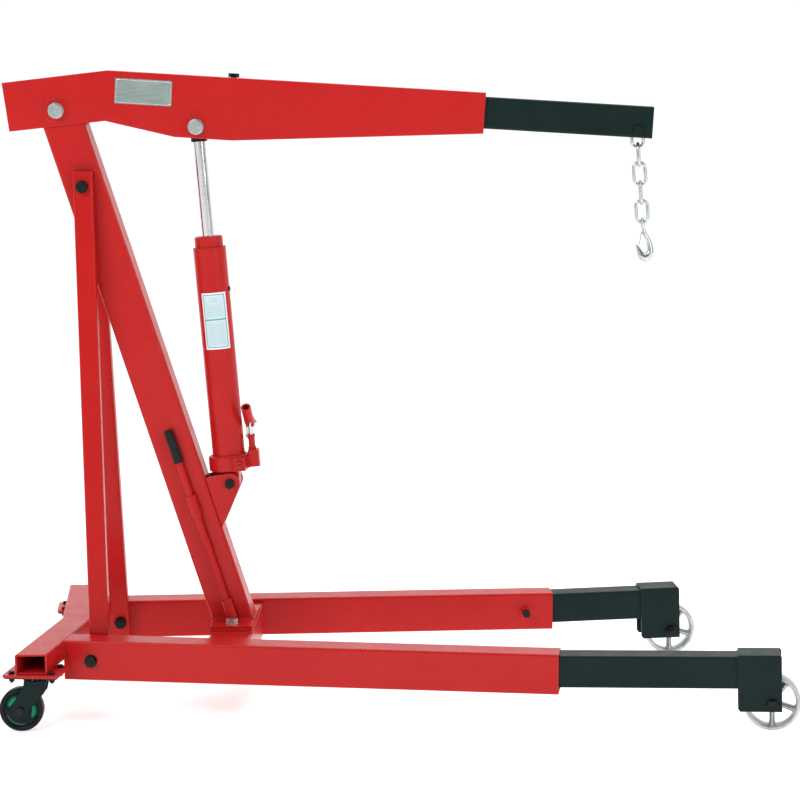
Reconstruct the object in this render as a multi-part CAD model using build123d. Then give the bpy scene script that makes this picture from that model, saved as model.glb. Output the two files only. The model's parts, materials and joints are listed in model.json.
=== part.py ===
"""Engine hoist crane, in millimetres.

The origin is on the floor under the middle of the machine. +X points forward, to the hook, +Y to the left
and +Z up. Each sub-part is a separate solid in its own STEP file.
"""

from build123d import *
import math
import os

# Driving dimensions -----------------------------------------------------------------------------------

# Base frame
LEG_FRONT_X = 369.0  # front ends of the fixed legs
LEG_FRONT_HALF = 358.6  # outer half width there
LEG_SPLAY = math.atan(0.104)  # each leg turns outwards by this angle
LEG_FALL = math.atan(0.013)  # and falls towards the front by this one
LEG_TOP = 169.3  # height of the legs' top at the front
LEG_H, LEG_W, LEG_WALL = 92.0, 72.0, 3.0
LEG_RADIUS = 5.0  # outer corner radius of the leg tube
BEAM_APEX_X = -810.4  # back of the rear beam, in the middle
BEAM_SWEEP = 44.5  # its ends lie this much further back
BEAM_HALF = 372.8
BEAM_W, BEAM_H, BEAM_WALL = 72.0, 46.0, 4.0
BEAM_TOP = 184.0
BEAM_HOLE = (283.0, 158.0)  # drain holes in its front wall, Y and Z
CROSS_X, CROSS_W = -394.0, 98.0
CROSS_BOTTOM, CROSS_TOP = 92.0, 169.0
FOOT_PLATE_T = 8.0
FOOT_HALF_Y = 113.0
FOOT_BOLT_Y = 84.0

# Mast and braces
MAST_MID = (-578.2, 770.0)  # a point of the mast's axis, X and Z
MAST_SLOPE = 0.31  # how far it leans back for each unit of height
MAST_D, MAST_W, MAST_WALL = 95.0, 80.0, 4.0
MAST_OVER_PIVOT = 32.0
BRACE_SIZE, BRACE_DEPTH, BRACE_WALL = 45.0, 28.0, 3.0
BRACE_AHEAD_TOP, BRACE_AHEAD_FOOT = 1.0, 8.5  # the brace's middle line runs this far ahead of its bolts
BRACE_TOP = (-716.9, 1215.7)  # upper brace bolt, X and Z
BRACE_FOOT = (-704.0, 137.0)  # lower brace bolt, X and Z
BRACE_END_TOP, BRACE_END_FOOT = 1250.0, 96.0

# Boom
PIVOT = (-775.3, 1391.1)
RAM_PIN = (-452.4, 1348.9)
JACK_PIN = (-395.6, 511.8)
JACK_PIN_R = 7.0
BOOM_HALF, BOOM_WALL = 46.0, 5.0
BOOM_SIDE = [
    (-900.0, 1456.6),
    (-655.0, 1481.4),
    (219.0, 1416.3),
    (211.4, 1322.6),
    (-369.0, 1315.7),
    (-503.0, 1326.0),
    (-663.0, 1365.4),
    (-886.0, 1344.0),
]
BOOM_OPEN_TO_X = -640.0  # the rear stretch is open below, back from here
RAM_SLOT = (-528.0, -380.0)  # slot in the boom's bottom for the ram
BOSS_R = 28.0
EXT_SIZE, EXT_WALL = 73.0, 4.5  # sliding tube of the boom
EXT_GAP = 4.6  # from the boom's top wall to the tube
EXT_FRONT_X, EXT_TAIL_X = 605.6, -410.0
HOOK_BOLT = (566.8, 1326.5)
GUIDE_LENGTH = 40.0
GUIDE_BACK_X = -60.0
LOCK_BOLT_X = -366.0

# Leg extensions, along the leg from the front end of the fixed tube
SLIDE_TILT = 0.0244  # the tubes rest tipped up by their play
SLIDE_H, SLIDE_W, SLIDE_WALL = 73.0, 64.0, 3.5
SLIDE_TAIL = -240.0
SLIDE_RIGHT, SLIDE_LEFT = 396.0, 223.0  # where each wheel bracket begins
BRACKET_LENGTH, BRACKET_DROP, BRACKET_T = 97.0, 123.0, 5.0
FRONT_AXLE_IN = 75.5  # from the bracket's back edge
FRONT_WHEEL_R, FRONT_WHEEL_W = 63.5, 36.0
LEG_SCREW_X = -69.0

# Rear casters
CASTER = (-815.0, 334.0)
CASTER_PLATE = (128.0, 104.0, 6.0)
CASTER_TOP_PLATE = (122.0, 98.0, 3.0)
CASTER_BOLTS = (94.0, 66.0)
CASTER_TRAIL, CASTER_R, CASTER_W = 35.0, 50.0, 30.0
SWIVEL_R, KINGPIN_R = 27.0, 6.0

# Ram, along its own axis from the lower pin
RAM_R, RAM_WALL = 38.3, 5.0
RAM_FROM, RAM_TO, COLLAR_TO = 64.0, 556.0, 583.0
ROD_R, ROD_TAIL, ROD_TOP = 14.7, 150.0, 804.0
PUMP_ACROSS, PLUNGER_R = 57.0, 5.5
VALVE = (28.0, 46.0)  # axis of the release valve
PUMP_PIN_W = 135.0
PUMP_TURN = math.radians(2.0)  # the lever points to the right and this much back

# Travel, in degrees and millimetres
BOOM_DOWN, BOOM_UP = -10.0, 35.0
RAM_PER_RADIAN = 312.0
TILT_PER_RADIAN = 0.0075
LEVER_DOWN, LEVER_UP = -30.0, 15.0

RUN = 0.05  # radial clearance of a running fit
GAP = 0.3  # space between neighbours that don't touch


# Helpers ----------------------------------------------------------------------------------------------


def cylinder(radius, start, end):
    """A cylinder between two points."""
    a, b = Vector(*start), Vector(*end)
    plane = Plane(origin=a, z_dir=b - a)
    return extrude(plane * Circle(radius), amount=(b - a).length)


def ring(outer, inner, start, end):
    return cylinder(outer, start, end) - cylinder(inner, start, end)


def hexagon(across, start, end):
    """A hexagonal prism between two points, with chamfered ends."""
    a, b = Vector(*start), Vector(*end)
    plane = Plane(origin=a, z_dir=b - a)
    prism = extrude(plane * RegularPolygon(across / 2, 6, major_radius=False), amount=(b - a).length)
    return prism & cylinder(across * 0.56, start, end)


def along(start, direction, distance):
    return tuple(s + d * distance for s, d in zip(start, direction))


def bolt(start, direction, size, grip, washer=True):
    """A hexagon bolt and its nut: its head is seated at start, and its shank runs along direction."""
    across = 1.5 * size
    head = 0.62 * size
    washer_r = 0.56 * across + (1.5 if washer else -0.6)
    washer_t = 0.12 * size
    back = along(start, direction, -washer_t)
    shapes = [
        ring(washer_r, size / 2, back, start),
        hexagon(across, along(back, direction, -head), back),
        cylinder(size / 2, back, along(start, direction, grip + 1.4 * size)),
    ]
    body = shapes[0] + shapes[1] + shapes[2]
    seat = along(start, direction, grip)
    top = along(seat, direction, washer_t)
    body += ring(washer_r, size / 2, seat, top)
    return body + hexagon(across, top, along(top, direction, 0.85 * size))


def filled(*points):
    """A flat face inside a closed outline."""
    return make_face(Polyline(*points, close=True))


def slab(points, y0, y1):
    """A polygon drawn in X and Z, from y0 to y1."""
    face = make_face(Polyline(*[(x, y0, z) for x, z in points], close=True))
    return extrude(face, amount=y1 - y0, dir=(0, 1, 0))


def box(x0, x1, y0, y1, z0, z1):
    solid = Box(x1 - x0, y1 - y0, z1 - z0)
    return Pos((x0 + x1) / 2, (y0 + y1) / 2, (z0 + z1) / 2) * solid


def tube_x(x0, x1, width, height, wall, radius):
    """A rectangular tube along X, with its middle on the axis."""
    section = RectangleRounded(width, height, radius)
    inside = RectangleRounded(width - 2 * wall, height - 2 * wall, max(radius - wall, 0.5))
    plane = Plane(origin=(x0, 0, 0), x_dir=(0, 1, 0), z_dir=(1, 0, 0))
    return extrude(plane * (section - inside), amount=x1 - x0)


def group(shapes):
    """Separate solids that share a node."""
    return Compound(children=[solid for shape in shapes for solid in shape.solids()])


def write(name, shape):
    export_step(shape, f"parts/{name}.step")


SIDES = {"right": -1, "left": 1}
SLIDE_FROM = {"right": SLIDE_RIGHT, "left": SLIDE_LEFT}


# Base frame -------------------------------------------------------------------------------------------


def leg_plane(side):
    """Origin at the middle of the leg's front top edge, X forward along the leg and Z up from its top."""
    ca, sa = math.cos(LEG_SPLAY), side * math.sin(LEG_SPLAY)
    cf, sf = math.cos(LEG_FALL), math.sin(LEG_FALL)
    half = LEG_FRONT_HALF - LEG_W / 2 / ca
    return Plane(
        origin=(LEG_FRONT_X, side * half, LEG_TOP),
        x_dir=(ca * cf, sa * cf, -sf),
        z_dir=(ca * sf, sa * sf, cf),
    )


def leg_at(side, x, y, z):
    """A point given in the leg's own frame, with y outwards."""
    plane = leg_plane(side)
    point = plane.origin + plane.x_dir * x + plane.y_dir * (side * y) + plane.z_dir * z
    return (point.X, point.Y, point.Z)


def leg_outwards(side):
    direction = leg_plane(side).y_dir * side
    return (direction.X, direction.Y, direction.Z)


def behind_beam():
    """Everything behind the front face of the rear beam."""
    front = BEAM_APEX_X + BEAM_W
    reach = 2.0
    outline = [
        (front, 0),
        (front - reach * BEAM_SWEEP, reach * BEAM_HALF),
        (front - 800, reach * BEAM_HALF),
        (front - 800, -reach * BEAM_HALF),
        (front - reach * BEAM_SWEEP, -reach * BEAM_HALF),
    ]
    return extrude(make_face(Polyline(*outline, close=True)), amount=600)


def leg(side):
    """Leg tube, and the nut welded to its inner face for the locking screw."""
    long = tube_x(-1250, 0, LEG_W, LEG_H, LEG_WALL, LEG_RADIUS)
    placed = leg_plane(side).location * (Pos(0, 0, -LEG_H / 2) * long)
    placed -= behind_beam()
    screw_hole = cylinder(
        6.0 + GAP, leg_at(side, LEG_SCREW_X, 0, -LEG_H / 2), leg_at(side, LEG_SCREW_X, -LEG_W, -LEG_H / 2)
    )
    brace_hole = cylinder(8.0 + GAP, *brace_foot_axis(side))
    return group([placed - screw_hole - brace_hole, leg_screw_nut(side)])


def brace_foot_axis(side):
    """Start outside the leg and end inside the frame."""
    outwards = leg_outwards(side)
    y_face = side * (LEG_FRONT_HALF + math.tan(LEG_SPLAY) * (BRACE_FOOT[0] - LEG_FRONT_X))
    seat = (BRACE_FOOT[0], y_face, BRACE_FOOT[1])
    return along(seat, outwards, 40), along(seat, outwards, -170)


def rear_beam():
    def arms(x_from, x_to, reach):
        shift = BEAM_SWEEP * reach
        y = BEAM_HALF * reach
        outline = [
            (x_from, 0),
            (x_from - shift, y),
            (x_to - shift, y),
            (x_to, 0),
            (x_to - shift, -y),
            (x_from - shift, -y),
        ]
        return make_face(Polyline(*outline, close=True))

    back, front = BEAM_APEX_X, BEAM_APEX_X + BEAM_W
    low = BEAM_TOP - BEAM_H
    outside = extrude(Pos(0, 0, low) * arms(back, front, 1.0), amount=BEAM_H)
    long_edges = outside.edges().filter_by(lambda e: e.length > 200 and abs(e.tangent_at(0.5).Z) < 0.01)
    outside = fillet(long_edges, 4.0)
    inside = extrude(
        Pos(0, 0, low + BEAM_WALL) * arms(back + BEAM_WALL, front - BEAM_WALL, 1.1),
        amount=BEAM_H - 2 * BEAM_WALL,
    )
    body = outside - inside
    for side in SIDES.values():
        x = front - BEAM_SWEEP * BEAM_HOLE[0] / BEAM_HALF
        y = side * BEAM_HOLE[0]
        body -= cylinder(5.0, (x - 10, y, BEAM_HOLE[1]), (x + 10, y, BEAM_HOLE[1]))
    return body


def leg_cut(side, grow=0.0):
    """The space that a leg takes."""
    solid = box(-1300, 40, -LEG_W / 2 - grow, LEG_W / 2 + grow, -LEG_H - 60, 60)
    return leg_plane(side).location * solid


def cross_member():
    height = CROSS_TOP - CROSS_BOTTOM
    bar = tube_x(-300, 300, CROSS_W, height, 4.0, 6.0)
    bar = Pos(CROSS_X, 0, CROSS_BOTTOM + height / 2) * (Rot(0, 0, 90) * bar)
    bar -= leg_cut(-1)
    bar -= leg_cut(1)
    middle = [s for s in bar.solids() if abs(s.center().Y) < 50]
    body = middle[0]
    for side in SIDES.values():
        y = side * FOOT_BOLT_Y
        body -= cylinder(8.0 + GAP, (CROSS_X, y, CROSS_BOTTOM - 5), (CROSS_X, y, CROSS_TOP + 5))
    return body


def foot_plate(z0):
    half = CROSS_W / 2
    plate = box(CROSS_X - half, CROSS_X + half, -FOOT_HALF_Y, FOOT_HALF_Y, z0, z0 + FOOT_PLATE_T)
    for side in SIDES.values():
        y = side * FOOT_BOLT_Y
        plate -= cylinder(8.0 + GAP, (CROSS_X, y, z0 - 1), (CROSS_X, y, z0 + FOOT_PLATE_T + 1))
    return plate


def foot_bolts():
    top = CROSS_TOP + 2 * FOOT_PLATE_T
    grip = top - CROSS_BOTTOM
    return group([bolt((CROSS_X, side * FOOT_BOLT_Y, top), (0, 0, -1), 16, grip) for side in SIDES.values()])


def mast_x(z):
    return MAST_MID[0] + (MAST_MID[1] - z) * MAST_SLOPE


def mast_plane(z):
    """Origin on the mast's axis, X up along it and Z to the front."""
    n = math.hypot(1.0, MAST_SLOPE)
    up = (-MAST_SLOPE / n, 0, 1 / n)
    front = (1 / n, 0, MAST_SLOPE / n)
    return Plane(origin=(mast_x(z), 0, z), x_dir=up, z_dir=front)


def mast():
    """Leaning tube, with the bush for the boom's pivot welded through its head."""
    foot = CROSS_TOP + 2 * FOOT_PLATE_T
    plane = mast_plane(PIVOT[1])
    tube = tube_x(-1400, MAST_OVER_PIVOT, MAST_W, MAST_D, MAST_WALL, 7.0)
    body = plane.location * tube
    body -= box(-900, 300, -100, 100, -200, foot)
    body -= cylinder(20.0, (PIVOT[0], -60, PIVOT[1]), (PIVOT[0], 60, PIVOT[1]))
    body -= cylinder(8.0 + GAP, (BRACE_TOP[0], -60, BRACE_TOP[1]), (BRACE_TOP[0], 60, BRACE_TOP[1]))
    return group([body, mast_pivot_bush()])


def mast_pivot_bush():
    half = MAST_W / 2
    return ring(20.0, 10.0 + RUN, (PIVOT[0], -half, PIVOT[1]), (PIVOT[0], half, PIVOT[1]))


def brace_axis(side):
    """The brace's middle line, from foot to top."""
    foot_face = LEG_FRONT_HALF + math.tan(LEG_SPLAY) * (BRACE_FOOT[0] - LEG_FRONT_X)
    foot_face -= LEG_W / math.cos(LEG_SPLAY)
    foot_y = side * (foot_face - BRACE_DEPTH / 2 - 1.5)
    top_y = side * (MAST_W / 2 + BRACE_DEPTH / 2 + 0.5)
    foot = Vector(BRACE_FOOT[0] + BRACE_AHEAD_FOOT, foot_y, BRACE_FOOT[1])
    top = Vector(BRACE_TOP[0] + BRACE_AHEAD_TOP, top_y, BRACE_TOP[1])
    return foot, top


def brace(side):
    foot, top = brace_axis(side)
    direction = (top - foot).normalized()
    plane = Plane(origin=foot, x_dir=direction, z_dir=Vector(1, 0, 0) - direction * direction.X)
    body = plane.location * tube_x(-120, 1200, BRACE_DEPTH, BRACE_SIZE, BRACE_WALL, 4.5)
    body -= box(-1000, -300, -300, 300, BRACE_END_TOP, 1500)
    body -= box(-1000, -300, -300, 300, -100, BRACE_END_FOOT)
    body -= leg_cut(side)
    body -= box(-1000, -300, -MAST_W / 2, MAST_W / 2, 0, 1500)
    body -= cylinder(8.0 + GAP, *brace_foot_axis(side))
    top_x, top_z = BRACE_TOP
    body -= cylinder(8.0 + GAP, (top_x, side * 20, top_z), (top_x, side * 120, top_z))
    return body


BRACE_TOP_SEAT = 70.8  # half the distance between the seats of the upper brace bolt
BRACE_FOOT_GRIP = LEG_W + BRACE_DEPTH + 5.5


def brace_bolts():
    start = (BRACE_TOP[0], -BRACE_TOP_SEAT, BRACE_TOP[1])
    shapes = [bolt(start, (0, 1, 0), 16, 2 * BRACE_TOP_SEAT)]
    for side in SIDES.values():
        outwards = leg_outwards(side)
        inwards = tuple(-v for v in outwards)
        seat = along(brace_foot_axis(side)[0], outwards, -40)
        shapes.append(bolt(seat, inwards, 16, BRACE_FOOT_GRIP))
    return group(shapes)


# Ram supports -----------------------------------------------------------------------------------------

GUSSET_OUT, GUSSET_T = 40.0, 6.0
LUG_HALF = 25.0  # half width of the lug between the gussets
PIN_EYE_R = 24.0


def mast_front_x(z):
    """The mast's front face."""
    return mast_x(z) + MAST_D / 2 * math.hypot(1.0, MAST_SLOPE)


def gusset(side):
    px, pz = JACK_PIN
    low = 407.1
    high = 524.8
    dx, dz = px - mast_front_x(low), pz - low
    reach = math.hypot(dx, dz)
    turn = math.atan2(dz, dx) - math.asin(PIN_EYE_R / reach)
    touch = math.sqrt(reach**2 - PIN_EYE_R**2)
    tangent = (mast_front_x(low) + touch * math.cos(turn), low + touch * math.sin(turn))
    y0, y1 = sorted((side * (GUSSET_OUT - GUSSET_T), side * GUSSET_OUT))
    outline = [
        (mast_front_x(low), low),
        tangent,
        (px, pz),
        (px - 4.0, pz + PIN_EYE_R),
        (mast_front_x(high), high),
    ]
    plate = slab(outline, y0, y1) + cylinder(PIN_EYE_R, (px, y0, pz), (px, y1, pz))
    plate -= slab_behind_mast(y0, y1)
    return plate - cylinder(JACK_PIN_R + RUN, (px, y0 - 1, pz), (px, y1 + 1, pz))


def slab_behind_mast(y0, y1):
    """The space up to the mast's front face."""
    outline = [(mast_front_x(300), 300), (mast_front_x(650), 650), (-900, 650), (-900, 300)]
    return slab(outline, y0 - 1, y1 + 1)


def ram_lower_pin():
    """Bolt through the gussets, with a spacer on each side of the ram's lug."""
    px, pz = JACK_PIN
    shapes = [bolt((px, -GUSSET_OUT, pz), (0, 1, 0), 2 * JACK_PIN_R, 2 * GUSSET_OUT, washer=False)]
    for s in (-1, 1):
        start = (px, s * (LUG_HALF + 0.2), pz)
        shapes.append(ring(12.0, JACK_PIN_R + RUN, start, (px, s * (GUSSET_OUT - GUSSET_T), pz)))
    return group(shapes)


def handle_line(z):
    """The stored handle lies along the middle of the mast's right face."""
    return (mast_x(z) + 2.0, -MAST_W / 2 - 12.5, z)


def handle_sleeves():
    upper = ring(12.5, 8.8, handle_line(436), handle_line(486))
    lower = ring(12.5, 8.8, handle_line(192), handle_line(236))
    keep = box(-900, 0, -200, -MAST_W / 2, 100, 700)
    above_foot = box(-900, 0, -200, 0, CROSS_TOP + 2 * FOOT_PLATE_T, 900)
    return group([upper & keep, lower & keep & above_foot])


def leg_screw_nut(side):
    inner = -LEG_W / 2
    start = leg_at(side, LEG_SCREW_X, inner, -LEG_H / 2)
    end = leg_at(side, LEG_SCREW_X, inner - 11, -LEG_H / 2)
    return hexagon(22, start, end) - cylinder(6.0 + RUN, start, end)


def leg_screw(side):
    tip = leg_at(side, LEG_SCREW_X, -SLIDE_W / 2 - 0.5, -LEG_H / 2)
    seat = leg_at(side, LEG_SCREW_X, -LEG_W / 2 - 20, -LEG_H / 2)
    head = leg_at(side, LEG_SCREW_X, -LEG_W / 2 - 28, -LEG_H / 2)
    return cylinder(6.0, tip, seat) + hexagon(18, seat, head)


# Rear casters -----------------------------------------------------------------------------------------


def caster_plane(side, z):
    n = math.hypot(BEAM_HALF, BEAM_SWEEP)
    return Plane(
        origin=(CASTER[0], side * CASTER[1], z),
        x_dir=(BEAM_HALF / n, side * BEAM_SWEEP / n, 0),
        z_dir=(0, 0, 1),
    )


PLATE_BOTTOM = BEAM_TOP - BEAM_H - CASTER_PLATE[2]
CASTER_PLATE_BOTTOM = PLATE_BOTTOM - CASTER_TOP_PLATE[2]
CROWN_TOP = CASTER_PLATE_BOTTOM - 10.0
CROWN_T = 4.0


def four_holes(radius, height):
    dx, dy = CASTER_BOLTS[0] / 2, CASTER_BOLTS[1] / 2
    return [Pos(sx * dx, sy * dy, 0) * Cylinder(radius, height) for sx in (-1, 1) for sy in (-1, 1)]


def rounded_plate(size, radius):
    return extrude(RectangleRounded(size[0], size[1], radius), amount=size[2])


def caster_plate(side):
    plate = rounded_plate(CASTER_PLATE, 6.0)
    for hole in four_holes(4.3, 40):
        plate -= hole
    return caster_plane(side, PLATE_BOTTOM).location * plate


def caster_bolts():
    shapes = []
    dx, dy = CASTER_BOLTS[0] / 2, CASTER_BOLTS[1] / 2
    grip = CASTER_PLATE[2] + CASTER_TOP_PLATE[2]
    for side in SIDES.values():
        place = caster_plane(side, PLATE_BOTTOM + CASTER_PLATE[2]).location
        for sx in (-1, 1):
            for sy in (-1, 1):
                shapes.append(place * bolt((sx * dx, sy * dy, 0), (0, 0, -1), 8, grip))
    return group(shapes)


def caster_top_plate(side):
    """Top plate of the caster, with its upper bearing cup and the riveted kingpin."""
    plate = rounded_plate(CASTER_TOP_PLATE, 6.0)
    plate += Pos(0, 0, -2.5) * Cylinder(SWIVEL_R, 5)
    for hole in four_holes(4.3, 40):
        plate -= hole
    plate -= Cylinder(KINGPIN_R, 40)
    plate -= Pos(0, 0, -5) * Torus(20.0, 2.5)
    return group([caster_plane(side, CASTER_PLATE_BOTTOM).location * plate, kingpin(side)])


def kingpin(side):
    x, y = CASTER[0], side * CASTER[1]
    shank = cylinder(KINGPIN_R, (x, y, CROWN_TOP - CROWN_T - 3), (x, y, CASTER_PLATE_BOTTOM + 3))
    head = cylinder(11.0, (x, y, CROWN_TOP - CROWN_T - 6), (x, y, CROWN_TOP - CROWN_T - 0.3))
    return shank + head


def swivel_balls():
    shapes = []
    for side in SIDES.values():
        for i in range(14):
            a = 2 * math.pi * i / 14
            x, y = CASTER[0] + 20 * math.cos(a), side * CASTER[1] + 20 * math.sin(a)
            shapes.append(Pos(x, y, CROWN_TOP + 2.5) * Sphere(2.3))
    return group(shapes)


def caster_axle(side):
    return (CASTER[0] - CASTER_TRAIL, side * CASTER[1], CASTER_R)


def caster_fork(side):
    """Crown and two legs that trail to the rear."""
    x, y = CASTER[0], side * CASTER[1]
    ax, _, az = caster_axle(side)
    shoulder = CROWN_TOP - CROWN_T
    outline = [
        (x - 25, CROWN_TOP - 1),
        (x + 27, CROWN_TOP - 1),
        (x + 21, shoulder - 24),
        (ax + 16, az - 4),
        (ax - 16, az - 4),
        (ax - 15, az + 18),
        (ax - 8, az + 30),
        (x - 27, shoulder - 10),
    ]
    body = cylinder(29.0, (x, y, shoulder), (x, y, CROWN_TOP))
    for s in (-1, 1):
        y0, y1 = sorted((y + s * 17.5, y + s * 21.0))
        body += slab(outline, y0, y1) + cylinder(18.5, (ax, y0, az), (ax, y1, az))
    body -= Pos(x, y, CROWN_TOP) * Torus(20.0, 2.45)
    body -= cylinder(KINGPIN_R + RUN, (x, y, 90), (x, y, 140))
    return body - cylinder(5.0 + RUN, (ax, y - 40, az), (ax, y + 40, az))


def caster_axle_bolt(side):
    ax, y, az = caster_axle(side)
    return bolt((ax, y - 21.0, az), (0, 1, 0), 10, 42.0)


def caster_core(side):
    """Moulded core: a web with teardrop windows between hub and rim."""
    ax, y, az = caster_axle(side)
    half = CASTER_W / 2
    core = ring(40.0, 5.0 + RUN, (ax, y - 13, az), (ax, y + 13, az))
    core += ring(14.0, 5.0 + RUN, (ax, y - 17, az), (ax, y + 17, az))
    for s in (-1, 1):
        core -= ring(36.5, 15.0, (ax, y + s * 7, az), (ax, y + s * half, az))
    return core


def caster_wheel(side):
    """Core and the tread round it."""
    ax, y, az = caster_axle(side)
    half = CASTER_W / 2
    tyre = ring(CASTER_R, 40.0, (ax, y - half, az), (ax, y + half, az))
    rims = tyre.edges().filter_by(GeomType.CIRCLE).filter_by(lambda e: e.radius > 45)
    return group([fillet(rims, 5.0), caster_core(side)])


# Leg extensions ---------------------------------------------------------------------------------------


def slide_plane(side):
    """The tipped frame of a leg extension: its origin is the middle of the tube's top, at the leg's mouth."""
    plane = leg_plane(side)
    mouth = Vector(*leg_at(side, 0, 0, -LEG_WALL - 0.4))
    tilt = SLIDE_TILT
    x_dir = plane.x_dir * math.cos(tilt) + plane.z_dir * math.sin(tilt)
    z_dir = plane.z_dir * math.cos(tilt) - plane.x_dir * math.sin(tilt)
    return Plane(origin=mouth, x_dir=x_dir, z_dir=z_dir)


def slide_at(side, x, y, z):
    plane = slide_plane(side)
    point = plane.origin + plane.x_dir * x + plane.y_dir * (side * y) + plane.z_dir * z
    return (point.X, point.Y, point.Z)


def front_axle(name):
    """Middle of the wheel: its height is the wheel's radius."""
    side = SIDES[name]
    x = SLIDE_FROM[name] + FRONT_AXLE_IN
    top = slide_at(side, x, 0, 0)
    z_dir = slide_plane(side).z_dir
    drop = (top[2] - FRONT_WHEEL_R) / z_dir.Z
    return slide_at(side, x, 0, -drop), drop


def leg_slide(name):
    """Sliding tube and the wheel bracket welded to its end."""
    side = SIDES[name]
    shift = SLIDE_FROM[name] - SLIDE_RIGHT
    body = tube_x(SLIDE_TAIL + shift, SLIDE_FROM[name] + 16, SLIDE_W, SLIDE_H, SLIDE_WALL, 5.0)
    return group([slide_plane(side).location * (Pos(0, 0, -SLIDE_H / 2) * body), wheel_bracket(name)])


def wheel_bracket(name):
    side = SIDES[name]
    x0 = SLIDE_FROM[name]
    x1 = x0 + BRACKET_LENGTH
    half = SLIDE_W / 2
    _, drop = front_axle(name)
    low = -BRACKET_DROP
    outline = [(x0, 5), (x1 - 3, 5), (x1, 1), (x1, low), (x0 + 5, low), (x0, low + 6)]
    body = box(x0, x1 - 3, -half, half, 0, 5)
    for s in (-1, 1):
        y0, y1 = sorted((s * half, s * (half + BRACKET_T)))
        body += slab(outline, y0, y1)
    axle_x = x0 + FRONT_AXLE_IN
    body -= cylinder(8.0 + RUN, (axle_x, -80, -drop), (axle_x, 80, -drop))
    return slide_plane(side).location * body


def front_axle_bolt(name):
    side = SIDES[name]
    centre, _ = front_axle(name)
    half = SLIDE_W / 2 + BRACKET_T
    outwards = leg_outwards(side)
    seat = along(centre, outwards, half)
    return bolt(seat, tuple(-v for v in outwards), 16, 2 * half)


def front_wheel(name):
    """Cast wheel with five open spokes."""
    side = SIDES[name]
    centre, _ = front_axle(name)
    plane = Plane(origin=centre, x_dir=slide_plane(side).x_dir, z_dir=slide_plane(side).y_dir)
    half = FRONT_WHEEL_W / 2
    r = FRONT_WHEEL_R
    rim_profile = Polyline(
        (r - 9, -half), (r - 3, -half), (r, -half + 5), (r, half - 5), (r - 3, half),
        (r - 9, half), (r - 10.5, half - 6), (r - 10.5, 6 - half), close=True,
    )
    rim = revolve(Plane.XZ * make_face(rim_profile), axis=Axis.Z)
    hub = Cylinder(16.5, 60)
    body = rim + hub
    for i in range(5):
        spoke = Pos(33.0, 0, 0) * Box(42.0, 12.0, 22.0)
        rib = Pos(33.0, 0, 0) * Box(42.0, 20.0, 7.0)
        body += Rot(0, 0, 72 * i + 18) * (spoke + rib)
    body -= Cylinder(8.0 + RUN, 80)
    return plane.location * body


# Boom -------------------------------------------------------------------------------------------------

TOP_SLOPE = (BOOM_SIDE[2][1] - BOOM_SIDE[1][1]) / (BOOM_SIDE[2][0] - BOOM_SIDE[1][0])
TOP_ANGLE = math.atan(TOP_SLOPE)


def boom_top(x):
    """Height of the boom's top in front of the bend."""
    return BOOM_SIDE[1][1] + (x - BOOM_SIDE[1][0]) * TOP_SLOPE


def boom_plane(x, down):
    """Frame on the boom's top at x, let down by a distance: X forward along the top."""
    c, s = math.cos(TOP_ANGLE), math.sin(TOP_ANGLE)
    return Plane(origin=(x + down * s, 0, boom_top(x) - down * c), x_dir=(c, 0, s), z_dir=(-s, 0, c))


def boom_cavity():
    outline = make_face(Polyline(*[(x, 0, z) for x, z in BOOM_SIDE], close=True))
    inside = offset(outline, amount=-BOOM_WALL, kind=Kind.INTERSECTION)
    face = inside.faces()[0]
    half = BOOM_HALF - BOOM_WALL
    cavity = extrude(face, amount=half, dir=(0, 1, 0)) + extrude(face, amount=half, dir=(0, -1, 0))
    rear_slope = (BOOM_SIDE[1][1] - BOOM_SIDE[0][1]) / (BOOM_SIDE[1][0] - BOOM_SIDE[0][0])
    rear_top = BOOM_SIDE[0][1] - BOOM_WALL * math.hypot(1, rear_slope)
    open_rear = [
        (BOOM_OPEN_TO_X, 1300),
        (BOOM_OPEN_TO_X, 1400),
        (BOOM_SIDE[0][0] + 30, rear_top + 30 * rear_slope),
        (BOOM_SIDE[0][0] - 40, rear_top - 40 * rear_slope),
        (BOOM_SIDE[0][0] - 40, 1300),
    ]
    cavity += slab(open_rear, -half, half)
    front = BOOM_SIDE[2][0]
    mouth = [
        (front - 20, boom_top(front - 20) - BOOM_WALL),
        (front + 20, boom_top(front + 20) - BOOM_WALL),
        (front + 20, BOOM_SIDE[3][1] + BOOM_WALL),
        (front - 20, BOOM_SIDE[3][1] + BOOM_WALL),
    ]
    cavity += slab(mouth, -half, half)
    return cavity + box(RAM_SLOT[0], RAM_SLOT[1], -24, 24, 1290, 1345)


def boom_box():
    """Folded box, with its pivot bushes and the two collars that guide the extension."""
    body = slab(BOOM_SIDE, -BOOM_HALF, BOOM_HALF)
    long_edges = body.edges().filter_by(lambda e: abs(e.tangent_at(0.5).Y) < 0.01 and e.length > 90)
    body = fillet(long_edges, 3.0)
    body -= boom_cavity()
    reach = BOOM_HALF + 5
    body -= cylinder(BOSS_R, (PIVOT[0], -reach, PIVOT[1]), (PIVOT[0], reach, PIVOT[1]))
    body -= cylinder(10.0 + GAP, (RAM_PIN[0], -reach, RAM_PIN[1]), (RAM_PIN[0], reach, RAM_PIN[1]))
    plane = boom_plane(LOCK_BOLT_X, 0)
    body -= plane.location * Cylinder(7.0 + RUN, 40)
    return group([body, *boom_bosses(), *boom_guides()])


def boom_bosses():
    """Bushes welded into the boom's sides for the pivot bolt."""
    shapes = []
    for s in (-1, 1):
        start = (PIVOT[0], s * (MAST_W / 2 + 0.5), PIVOT[1])
        end = (PIVOT[0], s * (BOOM_HALF + 1.5), PIVOT[1])
        shapes.append(ring(BOSS_R, 10.0 + RUN, start, end))
    return shapes


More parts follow.
